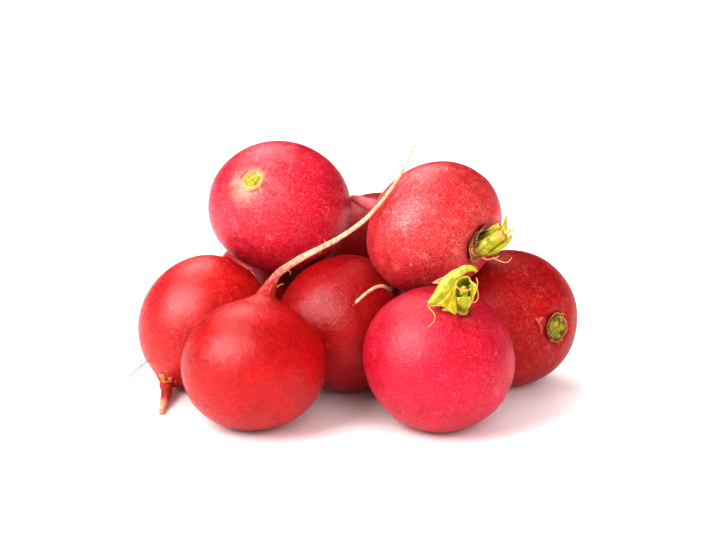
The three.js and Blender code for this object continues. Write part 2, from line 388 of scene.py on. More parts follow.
class Nodes:
    """Makes the nodes of one tree."""

    def __init__(self, tree: bpy.types.NodeTree) -> None:
        """Takes the tree.

        Args:
            tree: where the nodes go.
        """
        self.tree = tree

    def node(
        self, kind: str, settings: dict[str, object], inputs: dict[int | str, object]
    ) -> bpy.types.Node:
        """Adds a node.

        Args:
            kind: the node's type.
            settings: its properties, set before its sockets.
            inputs: socket to value or link.

        Returns:
            The node.
        """
        made = self.tree.nodes.new(kind)
        for key, value in settings.items():
            setattr(made, key, value)
        for key, value in inputs.items():
            self.feed(made.inputs[key], value)
        return made

    def feed(self, socket: bpy.types.NodeSocket, value: object) -> None:
        """Links or sets one input socket.

        Args:
            socket: the input.
            value: another node's output, a colour, a vector or a number.
        """
        if isinstance(value, Flow):
            self.tree.links.new(value.socket, socket)
        elif isinstance(value, (tuple, list)) and len(value) == 3 and socket.type == "RGBA":
            socket.default_value = (*value, 1.0)
        else:
            socket.default_value = value

    def maths(self, operation: str, a: Flow | float, b: Flow | float) -> Flow:
        """Adds a Math node on two values."""
        return Flow(self, self.node("ShaderNodeMath", {"operation": operation}, {0: a, 1: b}).outputs[0])


class Finisher(Nodes):
    """Makes one material."""

    def __init__(self, name: str) -> None:
        """Starts an empty material with a Principled shader.

        Args:
            name: the material's name.
        """
        self.material = bpy.data.materials.new(name)
        self.material.use_nodes = True
        super().__init__(self.material.node_tree)
        self.tree.nodes.clear()
        out = self.tree.nodes.new("ShaderNodeOutputMaterial")
        self.shader = self.tree.nodes.new("ShaderNodeBsdfPrincipled")
        self.tree.links.new(self.shader.outputs[0], out.inputs[0])

    def attribute(self, name: str) -> Flow:
        """Reads a mesh attribute as a vector."""
        return Flow(self, self.node("ShaderNodeAttribute", {"attribute_name": name}, {}).outputs["Vector"])

    def parts(self, vector: Flow) -> tuple[Flow, Flow, Flow]:
        """Splits a vector into its three values."""
        made = self.node("ShaderNodeSeparateXYZ", {}, {0: vector})
        return tuple(Flow(self, s) for s in made.outputs)

    def scaled(self, vector: Flow, by: tuple[float, float, float], move: float = 0.0) -> Flow:
        """Multiplies a vector part by part, then moves it."""
        inputs = {0: vector, 1: by, 2: (move,) * 3}
        return Flow(self, self.node("ShaderNodeVectorMath", {"operation": "MULTIPLY_ADD"}, inputs).outputs[0])

    def noise(
        self, vector: Flow, size: float, detail: float = 3.0, rough: float = 0.55, bend: float = 0.0
    ) -> Flow:
        """Adds cloudy unevenness.

        Args:
            vector: where it is read, in mm.
            size: width of one cloud, in mm.
            detail: octaves.
            rough: share of the fine octaves.
            bend: distortion.

        Returns:
            A value round 0.5.
        """
        made = self.node(
            "ShaderNodeTexNoise", {},
            {"Vector": vector, "Scale": 1.0 / size, "Detail": detail, "Roughness": rough, "Distortion": bend},
        )
        return Flow(self, made.outputs["Fac"])

    def cells(self, vector: Flow, size: float) -> Flow:
        """Distance to the nearest of scattered points, in cell widths."""
        inputs = {"Vector": vector, "Scale": 1.0 / size, "Randomness": 1.0}
        return Flow(self, self.node("ShaderNodeTexVoronoi", {}, inputs).outputs["Distance"])

    def ridge(self, value: Flow, width: float) -> Flow:
        """Thin lines where a value passes 0.5."""
        away = Flow(self, self.node("ShaderNodeMath", {"operation": "ABSOLUTE"}, {0: value - 0.5}).outputs[0])
        return away.between(width, width * 0.25)

    def distance(self, vector: Flow, place: Sequence[float]) -> Flow:
        """Distance from a place."""
        made = self.node("ShaderNodeVectorMath", {"operation": "DISTANCE"}, {0: vector, 1: tuple(place)})
        return Flow(self, made.outputs["Value"])

    def mix(self, a: Flow | Colour, b: Flow | Colour, share: Flow | float) -> Flow:
        """Mixes two colours."""
        made = self.node("ShaderNodeMix", {"data_type": "RGBA", "clamp_factor": True}, {0: share, 6: a, 7: b})
        return Flow(self, made.outputs[2])

    def bump(self, height: Flow, depth: float, strength: float = 1.0, under: Flow | None = None) -> Flow:
        """Turns a height into a normal.

        Args:
            height: 0 to 1.
            depth: what 1 stands for, in metres.
            strength: how much of it shows.
            under: a normal that it is laid on.

        Returns:
            The normal.
        """
        inputs = {"Height": height, "Distance": depth, "Strength": strength}
        if under is not None:
            inputs["Normal"] = under
        return Flow(self, self.node("ShaderNodeBump", {}, inputs).outputs[0])

    def finish(self, constants: dict[str, object], varied: dict[str, Flow]) -> bpy.types.Material:
        """Sets the shader's sockets.

        Args:
            constants: what is the same all over.
            varied: what changes over the surface.

        Returns:
            The material.
        """
        for key, value in {**constants, **varied}.items():
            self.feed(self.shader.inputs[key], value)
        return self.material


def skin_material(plan: RadishPlan) -> bpy.types.Material:
    """Makes one radish's skin: mottled red with russet at the crown and a paling taproot.

    Args:
        plan: the radish.

    Returns:
        The material.
    """
    f = plan.finish
    m = Finisher(f"skin_{plan.name}")
    own = m.attribute("own")
    crown, root, tail = m.parts(m.attribute("spot"))
    seed = float(plan.seed)
    place = m.scaled(own, (1.0, 1.0, 1.0), seed)

    # broad, middling and fine mottling of the red
    broad = m.noise(place, 9.0, 3.0)
    mottle = m.noise(place, 1.5, 5.0, 0.72)
    grain = m.noise(place, 0.42, 3.0, 0.7)
    fleck = m.noise(place, 0.24, 2.0, 0.7)
    colour = m.mix(f.deep, f.bright, broad.between(0.36, 0.64) * 0.55 + mottle.between(0.32, 0.68) * 0.55)
    worn = mottle.between(0.38, 0.62) * 0.5 + 0.12
    colour = m.mix(colour, f.blush, grain.between(0.48, 0.74) * worn * f.scuff)
    colour = m.mix(colour, f.deep, grain.between(0.5, 0.34) * 0.75)
    colour = m.mix(colour, tuple(0.35 * c for c in f.deep), fleck.between(0.54, 0.72) * 0.65)
    colour = m.mix(colour, f.blush, fleck.between(0.46, 0.3) * 0.5 * f.scuff)
    cloud = m.noise(place, 3.4, 4.0, 0.62).between(0.56, 0.72) * grain.between(0.3, 0.6)
    colour = m.mix(colour, f.blush, cloud * 0.5 * f.scuff)

    # fine scratches and pores
    lines = m.ridge(m.noise(m.scaled(own, (1.0, 1.0, 0.45), seed), 2.6, 2.0, 0.5, 0.8), 0.012)
    scratch = lines * m.noise(place, 3.2, 2.0).between(0.56, 0.64)
    colour = m.mix(colour, f.blush, scratch * 0.75 * f.scuff)
    pores = m.cells(place, 1.7)
    pore = pores.between(0.2, 0.06) * m.noise(place, 5.0, 2.0).between(0.5, 0.62)
    colour = m.mix(colour, f.blush, pore * 0.45)

    # russet, the band round the crown (on the top right radish a dark red painted shade of its dipped seat)
    # and a pale patch that is partly skin, partly a painted highlight
    near = crown.between(19.0, 3.0)
    specks = m.noise(place, 0.55, 4.0, 0.75).between(0.52 - 0.03 * f.russet, 0.64)
    patch = m.noise(place, 5.0, 3.0, 0.6).between(0.38, 0.6)
    russet = specks * patch * near * f.russet
    colour = m.mix(colour, srgb(206, 122, 74), russet * 0.7)
    # band round the seat; the top right radish's dark red here is painted shade of its dipped seat
    rim = (crown + m.noise(place, 1.4, 3.0) * 1.6).between(plan.seat + 0.9 + f.rim_width, plan.seat + 0.9)
    colour = m.mix(colour, f.rim, rim * 0.75)
    # pale streaked patch by the crown: partly pale skin, partly a painted highlight
    if f.scar_and_highlight:
        torn = (m.noise(place, 1.6, 4.0, 0.7) - 0.5) * 5.0
        away = m.distance(own, OwnFrame(plan).local(f.scar_and_highlight)) + torn
        streaks = m.noise(m.scaled(own, (1.0, 1.0, 0.3), seed), 0.8, 4.0, 0.65).between(0.3, 0.6)
        colour = m.mix(colour, srgb(228, 164, 128), away.between(6.4, 0.6) * (streaks * 0.5 + 0.5) * 0.75)

    # the taproot: blushed foot, pale tail, scabs and growth rings
    foot = root.between(-4.5, 1.5)
    lengthwise = m.noise(m.scaled(own, (2.2, 2.2, 0.35), seed), 1.0, 4.0, 0.6)
    colour = m.mix(colour, f.blush, foot * lengthwise.between(0.4, 0.72) * 0.6)
    pale = (tail + (lengthwise - 0.5) * 0.3).between(f.pale_from, f.pale_to) * root.between(-1.0, 2.5)
    colour = m.mix(colour, f.tail, pale)
    scabs = m.noise(m.scaled(own, (1.0, 1.0, 0.7), seed), 0.7, 4.0, 0.7).between(0.6, 0.68)
    scabs = scabs * root.between(-1.5, 1.0)
    colour = m.mix(colour, srgb(128, 70, 42), scabs * 0.65)
    rings = m.ridge(m.noise(m.scaled(own, (0.2, 0.2, 1.5), seed), 1.3, 2.0), 0.03)
    rings = rings * root.between(-2.0, 1.0)
    colour = m.mix(colour, srgb(140, 60, 48), rings * 0.4)

    # gloss and fine relief
    rough = mottle * 0.24 + grain * 0.3 + fleck * 0.36 + russet * 0.2 + rim * 0.2 + foot * 0.4
    rough = rough + (f.rough - 0.45)
    normal = m.bump(m.noise(place, 3.0, 3.0, 0.6), 0.00034, 0.6)
    fine = grain * 0.9 + mottle * 0.6 + scratch * 0.7 + pore * 0.6 + russet * 0.6 - rings * 1.4
    normal = m.bump(fine + fleck * 0.5, 0.00014, 0.9, normal)
    return m.finish(
        {
            "Subsurface Weight": 0.05, "Subsurface Radius": (1.0, 0.2, 0.15), "Subsurface Scale": 0.0012,
            "IOR": 1.45, "Specular IOR Level": f.gloss,
        },
        {"Base Color": colour, "Roughness": rough, "Normal": normal},
    )


class LeafTone(Enum):
    """Tones of the cut leaf parts."""

    STALK = "stalk"
    LEAF = "leaf"
    GREEN = "green"
    PEACH = "peach"
    CUT = "cut"
    PITTED = "pitted"
    PAPER = "paper"
    PEEL = "peel"
    SCALE = "scale"
    HAIR = "hair"


@dataclass(frozen=True)
class LeafFinish:
    """The look of one kind of cut leaf tissue."""

    light: Colour
    dark: Colour
    edge: Colour  # of dry or cut edges
    edge_share: float
    rough: float = 0.45
    foot: Colour | None = None  # where it leaves the crown
    pitted: float = 0.85  # strength of the painted shade in its pits and hollows


LEAF_FINISHES: dict[LeafTone, LeafFinish] = {
    LeafTone.STALK: LeafFinish(
        srgb(188, 182, 66), srgb(118, 130, 16), srgb(216, 144, 84), 0.75, foot=srgb(164, 122, 60)
    ),
    LeafTone.LEAF: LeafFinish(srgb(186, 166, 22), srgb(128, 126, 12), srgb(220, 158, 78), 0.8, pitted=0.5),
    LeafTone.GREEN: LeafFinish(srgb(186, 180, 48), srgb(112, 118, 14), srgb(226, 192, 108), 0.7, pitted=0.15),
    LeafTone.PEACH: LeafFinish(srgb(236, 190, 136), srgb(212, 140, 96), srgb(232, 132, 90), 0.6, 0.5),
    LeafTone.CUT: LeafFinish(srgb(178, 158, 18), srgb(100, 108, 12), srgb(226, 174, 110), 0.95, 0.5),
    LeafTone.PITTED: LeafFinish(srgb(164, 150, 36), srgb(88, 86, 12), srgb(104, 76, 30), 0.95, 0.5),
    LeafTone.PAPER: LeafFinish(srgb(178, 116, 78), srgb(92, 46, 26), srgb(212, 156, 112), 0.6, 0.6),
    LeafTone.PEEL: LeafFinish(srgb(206, 98, 82), srgb(140, 26, 26), srgb(224, 148, 116), 0.6, 0.5),
    LeafTone.SCALE: LeafFinish(srgb(112, 66, 50), srgb(30, 14, 12), srgb(196, 140, 110), 0.5, 0.65),
    LeafTone.HAIR: LeafFinish(srgb(236, 168, 104), srgb(206, 112, 66), srgb(236, 178, 128), 0.5, 0.5),
}


Tissue = dict[LeafTone, bpy.types.Material]


def leaf_material(tone: LeafTone) -> bpy.types.Material:
    """Makes one cut leaf tissue: drawn fibres, painted shade in its pits and hollows, and dry edges.

    Args:
        tone: which tissue.

    Returns:
        The material.
    """
    f = LEAF_FINISHES[tone]
    m = Finisher(f"tissue_{tone.value}")
    own = m.attribute("own")
    pit_shade, along, edge = m.parts(m.attribute("spot"))
    fibres = m.noise(m.scaled(own, (1.0, 1.0, 0.16), 3.0), 0.32, 4.0, 0.62)
    cloud = m.noise(own, 1.5, 4.0, 0.62)
    colour = m.mix(f.dark, f.light, fibres.between(0.32, 0.66) * 0.5 + cloud.between(0.34, 0.64) * 0.6)
    colour = m.mix(colour, f.edge, (edge + cloud * 0.5 - 0.25).between(0.5, 0.95) * f.edge_share)
    # painted shade: darkens the crown pits and the hollow cut ends of stalks
    colour = m.mix(colour, srgb(58, 50, 14), (pit_shade + cloud * 0.4 - 0.2).between(0.4, 0.9) * f.pitted)
    if f.foot:
        foot = (along + (cloud - 0.5) * 0.5).between(0.3, 0.04)
        colour = m.mix(colour, f.foot, foot * 0.7)
    dry = m.noise(own, 0.5, 4.0, 0.7).between(0.58, 0.7) * edge.between(0.5, 1.0)
    colour = m.mix(colour, srgb(130, 82, 44), dry * 0.55)
    height = fibres * 0.7 + m.noise(own, 0.3, 3.0) * 0.4
    rough = cloud * 0.15 + (f.rough - 0.07)
    return m.finish(
        {
            "Subsurface Weight": 0.1, "Subsurface Radius": (0.7, 1.0, 0.25), "Subsurface Scale": 0.0006,
            "IOR": 1.42,
        },
        {"Base Color": colour, "Roughness": rough, "Normal": m.bump(height, 0.00018, 0.8)},
    )


# ---- meshes ------------------------------------------------------------------------------


@dataclass
class Sheet:
    """Rows of points that become quads, in mm in the heap's frame."""

    points: Array
    own: Array
    spot: Array
    round_: bool = True
    capped: bool = True

    def faces(self) -> tuple[list[tuple[int, ...]], int]:
        """Joins the points.

        Returns:
            The quads with the two end faces, and the number of points.
        """
        rows, cols = self.points.shape[:2]
        quads: list[tuple[int, ...]] = []
        last = cols if self.round_ else cols - 1
        for j in range(rows - 1):
            a, b = j * cols, (j + 1) * cols
            for i in range(last):
                k = (i + 1) % cols
                quads.append((a + i, a + k, b + k, b + i))
        if self.capped and self.round_:
            quads.append(tuple(reversed(range(cols))))
            quads.append(tuple((rows - 1) * cols + i for i in range(cols)))
        return quads, rows * cols


def make_piece(
    name: str, sheets: Sequence[Sheet], material: bpy.types.Material, slot: str, *nodes: str,
    thick: float = 0.0,
) -> None:
    """Joins sheets into one object that rides on the heap.

    Args:
        name: the object's name.
        sheets: what it is made of.
        material: its look.
        slot: the record's material slot; not used.
        nodes: CAD nodes that it stands for.
        thick: thickness in mm given to open sheets.
    """
    points, own, spot, faces, start = [], [], [], [], 0
    for sheet in sheets:
        quads, count = sheet.faces()
        faces += [tuple(start + i for i in q) for q in quads]
        points.append(sheet.points.reshape(-1, 3))
        own.append(np.broadcast_to(sheet.own, sheet.points.shape).reshape(-1, 3))
        spot.append(np.broadcast_to(sheet.spot, sheet.points.shape).reshape(-1, 3))
        start += count
    place = np.concatenate(points) + SHIFT
    place[:, 2] = np.maximum(place[:, 2], THINNEST)
    mesh = bpy.data.meshes.new(name)
    mesh.from_pydata((place * MM).tolist(), [], faces)
    for key, values in (("own", own), ("spot", spot)):
        layer = mesh.attributes.new(key, "FLOAT_VECTOR", "POINT")
        layer.data.foreach_set("vector", np.concatenate(values).astype(np.float32).ravel())
    mesh.polygons.foreach_set("use_smooth", [True] * len(mesh.polygons))
    mesh.materials.append(material)
    piece = bpy.data.objects.new(name, mesh)
    bpy.context.scene.collection.objects.link(piece)
    if thick:
        solid = piece.modifiers.new("thickness", "SOLIDIFY")
        solid.thickness = thick * MM
        solid.offset = 0.0
    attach(piece, "root")
    if nodes:
        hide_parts(*nodes)
    log.info("%s: %d points", name, len(place))


class OwnFrame:
    """A radish's own frame: z along the crown axis, then drawn out along one direction."""

    def __init__(self, plan: RadishPlan) -> None:
        """Works out the frame.

        Args:
            plan: the radish.
        """
        z = unit(plan.crown)
        v = np.cross(UP, z)
        q = unit([*v, 1 + z[2]])
        x, y, w, s = q
        turn = np.array([
            [1 - 2 * (y * y + w * w), 2 * (x * y - w * s), 2 * (x * w + y * s)],
            [2 * (x * y + w * s), 1 - 2 * (x * x + w * w), 2 * (y * w - x * s)],
            [2 * (x * w - y * s), 2 * (y * w + x * s), 1 - 2 * (x * x + y * y)],
        ])
        t = unit(plan.stretch)
        self.matrix = (np.eye(3) + (plan.by - 1) * np.outer(t, t)) @ turn
        self.at = np.array(plan.at)

    def point(self, local: Array) -> Array:
        """Turns own millimetres into the heap's."""
        return self.at + local @ self.matrix.T

    def local(self, point: Sequence[float]) -> Array:
        """Turns the heap's millimetres into own ones."""
        return np.linalg.solve(self.matrix, np.asarray(point, float) - self.at)

    def turn_to(self, way: Sequence[float]) -> float:
        """Gives the turn round the crown axis that faces a direction."""
        x, y, _ = np.linalg.solve(self.matrix, np.asarray(way, float))
        return math.atan2(y, x)


def curve_points(path: Array, per: float) -> tuple[Array, Array, Array]:
    """Runs a smooth curve through the points of a path.

    Args:
        path: (n, k) rows of x, y, z and anything else; the rest is eased between points.
        per: spacing along the curve, in mm.

    Returns:
        Places, the other columns at them, and the length run so far.
    """
    p = path[:, :3]
    full = np.vstack([2 * p[0] - p[1], p, 2 * p[-1] - p[-2]])
    places, rest = [], []
    for i in range(len(p) - 1):
        x0, x1, x2, x3 = full[i : i + 4]
        spans = ((x0, x1), (x1, x2), (x2, x3))
        d0, d1, d2 = (max(np.linalg.norm(b - a) ** 0.5, 1e-4) for a, b in spans)
        t1 = ((x1 - x0) / d0 - (x2 - x0) / (d0 + d1) + (x2 - x1) / d1) * d1
        t2 = ((x2 - x1) / d1 - (x3 - x1) / (d1 + d2) + (x3 - x2) / d2) * d1
        steps = max(2, int(np.linalg.norm(x2 - x1) / per))
        t = np.arange(steps + (i == len(p) - 2))[:, None] / steps
        c2 = -3 * x1 + 3 * x2 - 2 * t1 - t2
        c3 = 2 * x1 - 2 * x2 + t1 + t2
        places.append(x1 + t1 * t + c2 * t * t + c3 * t**3)
        rest.append(path[i, 3:] + (path[i + 1, 3:] - path[i, 3:]) * t)
    at = np.vstack(places)
    run = np.concatenate([[0], np.cumsum(np.linalg.norm(np.diff(at, axis=0), axis=1))])
    return at, np.vstack(rest), run


def carried_frames(at: Array, side: Array) -> tuple[Array, Array, Array]:
    """Carries a sideways direction along a curve without twisting it.

    Args:
        at: places along the curve.
        side: the direction at its start.

    Returns:
        Directions along the curve, sideways, and across both.
    """
    along = np.gradient(at, axis=0)
    along /= np.linalg.norm(along, axis=1)[:, None]
    sides = np.empty_like(at)
    for i, a in enumerate(along):
        side = side - a * (side @ a)
        side = side / np.linalg.norm(side)
        sides[i] = side
    return along, sides, np.cross(along, sides)


@dataclass
class Root:
    """One radish's globe and taproot in one fine skin."""

    plan: RadishPlan
    waves: Waves = field(init=False)

    def __post_init__(self) -> None:
        """Draws this radish's own unevenness."""
        self.waves = Waves(self.plan.seed)

    def profile(self) -> tuple[Array, Array]:
        """Draws the globe's outline from the crown to the root's foot.

        Returns:
            Distances from the axis, and heights.
        """
        p = self.plan
        top = np.sin(np.linspace(0, 1, 64) * (math.pi / 2)) * 0.999
        upper = np.concatenate([np.linspace(0.05, 0.3, 16), top[top > 0.305]]) * p.radius
        lower = upper[::-1]
        lower = lower[lower > ROOT_FOOT + 0.1]
        share = np.linspace(0, 1, 26)
        foot = ROOT_FOOT + (p.root_radius - ROOT_FOOT) * share
        foot_z = -p.height_at(foot) - p.rise * share**2.2
        heights = np.concatenate([p.top_height(upper), -p.height_at(lower), foot_z])
        return np.concatenate([upper, lower, foot]), heights

    def uneven(self, local: Array, rho: Array, turn: Array) -> Array:
        """Works out ribs, swellings and root wrinkles.

        Args:
            local: places in the radish's own frame.
            rho: their distances from the axis.
            turn: their turns round it.

        Returns:
            How far the skin stands out there, in mm.
        """
        p = self.plan
        low = self.waves.at(local, 17.0) * 0.16 + self.waves.at(local, 7.0) * 0.05
        z = local[..., 2]
        ribs = np.cos(5 * turn + p.seed) + 0.6 * np.cos(8 * turn + 2.1 * p.seed)
        crown = ribs * 0.13 * np.exp(-(((rho - p.seat - 1.5) / 3.0) ** 2)) * (z > 0)
        root = np.cos(3 * turn + p.seed) * 0.16 * np.exp(-(((rho - p.root_radius) / 2.5) ** 2)) * (z < 0)
        wrinkle = self.waves.at(local * np.array([0.5, 0.5, 2.2]), 1.6) * 0.09 * (z < 0) * ease(5.5, 2.0, rho)
        return low * ease(0, p.seat + 2, rho) + crown + root + wrinkle

    def sheet(self) -> Sheet:
        """Builds the skin's points with what its finish reads.

        Returns:
            The whole skin, from the tip of the root to the crown.
        """
        p = self.plan
        frame_ = OwnFrame(p)
        turn = circle(SIDES)
        rho, z = self.profile()
        ring = np.stack([np.cos(turn), np.sin(turn), np.zeros(SIDES)], -1)
        local = rho[:, None, None] * ring + z[:, None, None] * UP
        out = np.stack([np.gradient(z), -np.gradient(rho)], -1)
        out /= np.linalg.norm(out, axis=1)[:, None]
        normal = -out[:, 0, None, None] * ring - out[:, 1, None, None] * UP
        stand = self.uneven(local, rho[:, None], turn[None, :])
        globe = frame_.point(local + normal * stand[..., None])
        foot_z = float(z[-1])
        crown = np.hypot(rho, z - p.seat_height)
        crown = np.where(z > -0.2 * p.radius, crown, FAR)
        inner = frame_.point(np.array([0, 0, foot_z + 3.0]))
        foot = frame_.point(np.array([0, 0, foot_z]))
        path = np.array([(*foot, p.root_radius), *p.path])
        at, half, run = curve_points(path, 0.3)
        lead = np.vstack([inner, at])
        _, side, across = carried_frames(lead, frame_.matrix[:, 0])
        side, across = side[1:], -across[1:]
        grow_u = 1 + (np.linalg.norm(frame_.matrix[:, 0]) - 1) * np.exp(-run / 2)
        grow_v = 1 + (np.linalg.norm(frame_.matrix[:, 1]) - 1) * np.exp(-run / 2)
        smooth = np.convolve(np.pad(half[:, 0], 6, mode="edge"), np.ones(13) / 13, "valid")
        smooth[0] = p.root_radius
        own = smooth[:, None, None] * ring + (foot_z - run)[:, None, None] * UP
        pinch = 1 + 0.02 * self.waves.at(own * np.array([0.25, 0.25, 1.0]), 1.3)
        pinch = (pinch + 0.03 * self.waves.at(own, 3.0))[..., None]
        tail = (
            at[:, None]
            + side[:, None] * (smooth * grow_u)[:, None, None] * np.cos(turn)[None, :, None] * pinch
            + across[:, None] * (smooth * grow_v)[:, None, None] * np.sin(turn)[None, :, None] * pinch
        )
        share = run / run[-1]
        spots = np.zeros((len(rho) + len(run) - 1, SIDES, 3))
        spots[: len(rho), :, 0] = crown[:, None]
        spots[: len(rho), :, 1] = np.where(z < 0, -(rho - p.root_radius), -30.0)[:, None]
        spots[len(rho) :, :, 0] = FAR
        spots[len(rho) :, :, 1] = run[1:, None]
        spots[len(rho) :, :, 2] = share[1:, None]
        points = np.concatenate([globe, tail[1:]])
        return Sheet(points[::-1], np.concatenate([local, own[1:]])[::-1], spots[::-1])

    def build(self) -> None:
        """Makes the skin and dresses it."""
        p = self.plan
        slot = p.finish.kind.value
        make_piece(f"skin_{p.name}", [self.sheet()], skin_material(p), slot, f"radish_{p.name}")


@dataclass
class Stalk:
    """One cut leaf stalk: a grooved, ribbed rod along a path."""

    path: Sequence[Sequence[float]]
    thick: float
    wide: Sequence[float]
    seed: int = 1
    groove: float = 0.45
    sides: int = 28

    def sheet(self) -> Sheet:
        """Builds the stalk with a hollow cut end.

        Returns:
            Its skin and its cut end.
        """
        path = np.array(self.path, float)
        at, width, run = curve_points(path, 0.22)
        along, side, across = carried_frames(at, np.array(self.wide, float))
        turn = circle(self.sides)
        c, s = np.cos(turn), np.sin(turn)
        flat = np.where(s > 0, s * ((1 - self.groove) + self.groove * c * c * 1.6), s)
        ribs = 1 + 0.05 * np.cos(6 * turn + self.seed) + 0.03 * np.cos(11 * turn)
        waves = Waves(self.seed)
        half_w = width[:, 0] / 2
        half_t = np.minimum(self.thick / 2, half_w)
        share = run / run[-1]
        end = ease(1.0, 0.93, share) * 0.25 + 0.75
        u = side[:, None] * (half_w * end)[:, None, None] * (c * ribs)[None, :, None]
        v = across[:, None] * (half_t * end)[:, None, None] * (flat * ribs)[None, :, None]
        points = at[:, None] + u + v
        uneven = waves.at(points, 1.6)[..., None] * 0.07
        points = points + (u + v) * uneven
        own = np.broadcast_arrays(c[None] * half_w[:, None], s[None] * half_t[:, None], run[:, None])
        own = np.stack(own, -1) + self.seed
        edge = np.broadcast_to(ease(0.75, 1.0, share)[:, None], own.shape[:2]).copy()
        edge += 0.35 * (np.abs(c) ** 6)[None]
        spot = np.stack(np.broadcast_arrays(0 * edge, share[:, None] + 0 * edge, edge), -1)
        last, centre = points[-1], at[-1]
        ragged = np.sin(3 * turn + self.seed) * 0.12 + np.sin(7 * turn) * 0.06
        rows, owns, spots = [points], [own], [spot]
        steps = ((0.86, 0.08, 0.0), (0.66, -0.2, 0.5), (0.35, -0.34, 0.8), (0.05, -0.36, 0.8))
        for keep, push, hollow in steps:
            row = centre + (last - centre) * keep + along[-1] * (push + ragged[:, None] * keep * 0.5)
            rows.append(row[None])
            owns.append(own[-1:] * np.array([keep, keep, 1]))
            # the recessed middle of the cut end is marked for painted shade
            spots.append(spot[-1:] + np.array([hollow, 0, -hollow]))
        return Sheet(np.concatenate(rows), np.concatenate(owns), np.concatenate(spots))


@dataclass
class Leaf:
    """A thin leaf part: a smooth sheet through rows of points."""

    rows: Sequence[Sequence[Sequence[float]]]
    seed: int = 1
    ragged: float = 0.0
    fine: int = 7

    @staticmethod
    def smooth(points: Array, steps: int) -> Array:
        """Runs a smooth curve along the first axis.

        Args:
            points: (n, ...) control points.
            steps: points for each stretch.

        Returns:
            The finer rows.
        """
        full = np.concatenate([2 * points[:1] - points[1:2], points, 2 * points[-1:] - points[-2:-1]])
        made = []
        for i in range(len(points) - 1):
            a, b, c, d = full[i : i + 4]
            for t in np.arange(steps) / steps:
                square = (2 * a - 5 * b + 4 * c - d) * t**2
                made.append(0.5 * (2 * b + (c - a) * t + square + (3 * b - a - 3 * c + d) * t**3))
        return np.array([*made, points[-1]])

    def sheet(self) -> Sheet:
        """Builds the sheet with creases and a ragged far edge.

        Returns:
            The sheet, without its thickness.
        """
        control = np.array(self.rows, float)
        points = self.smooth(control, self.fine)
        points = self.smooth(points.swapaxes(0, 1), self.fine).swapaxes(0, 1)
        rows, cols = points.shape[:2]
        u = np.linspace(0, 1, rows)[:, None] + np.zeros(cols)
        v = np.zeros(rows)[:, None] + np.linspace(0, 1, cols)
        waves = Waves(self.seed)
        normal = np.cross(np.gradient(points, axis=0), np.gradient(points, axis=1))
        normal /= np.maximum(np.linalg.norm(normal, axis=-1), 1e-9)[..., None]
        points = points + normal * (waves.at(points, 1.1) * 0.07)[..., None]
        if self.ragged:
            pull = waves.at(np.stack([v * 9, v * 0, v * 0], -1), 1.3) * self.ragged
            last = points[-1] - points[max(0, rows - 4)]
            last = last / np.linalg.norm(last, axis=-1)[:, None]
            points = points + last[None] * (pull * u**6)[..., None]
        edge = np.maximum(np.abs(2 * v - 1) ** 3, np.abs(2 * u - 1) ** 8)
        size = np.linalg.norm(np.diff(control, axis=0), axis=-1).sum(0).mean()
        own = np.stack([v * 3.0, waves.at(points, 3.0) * 0.3, u * size], -1) + self.seed
        return Sheet(points, own, np.stack([0 * u, 1 + 0 * u, edge], -1), round_=False, capped=False)


@dataclass
class Rim:
    """A ragged ring of peeled skin or dry scales round a crown, in its radish's own frame."""

    plan: RadishPlan
    inner: float
    outer: float
    lift: float
    ragged: float
    teeth: int
    seed: int
    middle: float = 0.0
    sweep: float = TAU
    sides: int = 168
    rows: int = 9

    def sheet(self) -> Sheet:
        """Builds the ring as an open sheet that leans out over the skin.

        Returns:
            The ring or arc, without its thickness.
        """
        p = self.plan
        count = self.sides
        whole = self.sweep >= TAU
        turn = self.middle + (np.arange(count) / (count if whole else count - 1) - 0.5) * self.sweep
        rng = np.random.default_rng(self.seed)
        phase = rng.uniform(0, 6.28, 6)
        step = turn * self.teeth / TAU + 0.22 * np.sin(3 * turn + phase[0])
        tooth = np.abs((step % 1) * 2 - 1) ** 0.8
        size = 0.6 + 0.4 * np.sin(np.floor(step) * 2.4 + phase[3])
        frayed = 0.25 * np.sin(turn * 2 + phase[1]) + 0.12 * np.sin(turn * 31 + phase[2])
        jag = 1 - self.ragged * (0.6 * tooth * size + frayed)
        if not whole:
            jag = jag * np.sin(np.linspace(0.12, math.pi - 0.12, count)) ** 0.4
        t = np.linspace(0, 1, self.rows)[:, None]
        radius = self.inner + (self.outer - self.inner) * t * jag
        curl = np.sin(turn * 5 + phase[4]) * 0.5 + 0.5
        rise = self.lift * (t**0.8) * (0.45 + 0.55 * curl) * jag + 0.1 * np.sin(9 * turn + 5 * t)
        height = p.top_height(radius) + 0.1 + rise
        local = np.stack([radius * np.cos(turn), radius * np.sin(turn), height], -1)
        own = np.stack(np.broadcast_arrays(turn[None] * self.outer, radius * 0, radius * 2), -1) + self.seed
        spot = np.stack(np.broadcast_arrays(0 * radius, t + 0 * radius, t**2 + 0 * radius), -1)
        return Sheet(OwnFrame(p).point(local), own, spot, round_=whole, capped=False)


@dataclass
class Hair:
    """A fine root hair or leaf fibre along a path."""

    path: Sequence[Sequence[float]]
    thick: float = 0.3
    taper: float = 0.7
    sides: int = 8

    def sheet(self) -> Sheet:
        """Builds a tapering tube.

        Returns:
            The tube.
        """
        at, _, run = curve_points(np.array(self.path, float), 0.3)
        _, side, across = carried_frames(at, np.array([0.3, 0.2, 0.9]))
        turn = circle(self.sides)
        half = self.thick / 2 * (1 - self.taper * run / run[-1])
        points = at[:, None] + half[:, None, None] * (
            side[:, None] * np.cos(turn)[None, :, None] + across[:, None] * np.sin(turn)[None, :, None]
        )
        share = (run / run[-1])[:, None] + 0 * turn
        return Sheet(points, points - points.min((0, 1)), np.stack([0 * share, share, share], -1))


class CutStyle(Enum):
    """How the crown was cut."""

    HIDDEN = "a low worn stub that is turned away"
    FLUSH = "cut level with the skin, pale ring round a green middle"
    # the darkness of its pits is painted shade
    PITTED = "cut low, with dark pits between the leaf bases"
    STALKED = "leaf stalks left on"


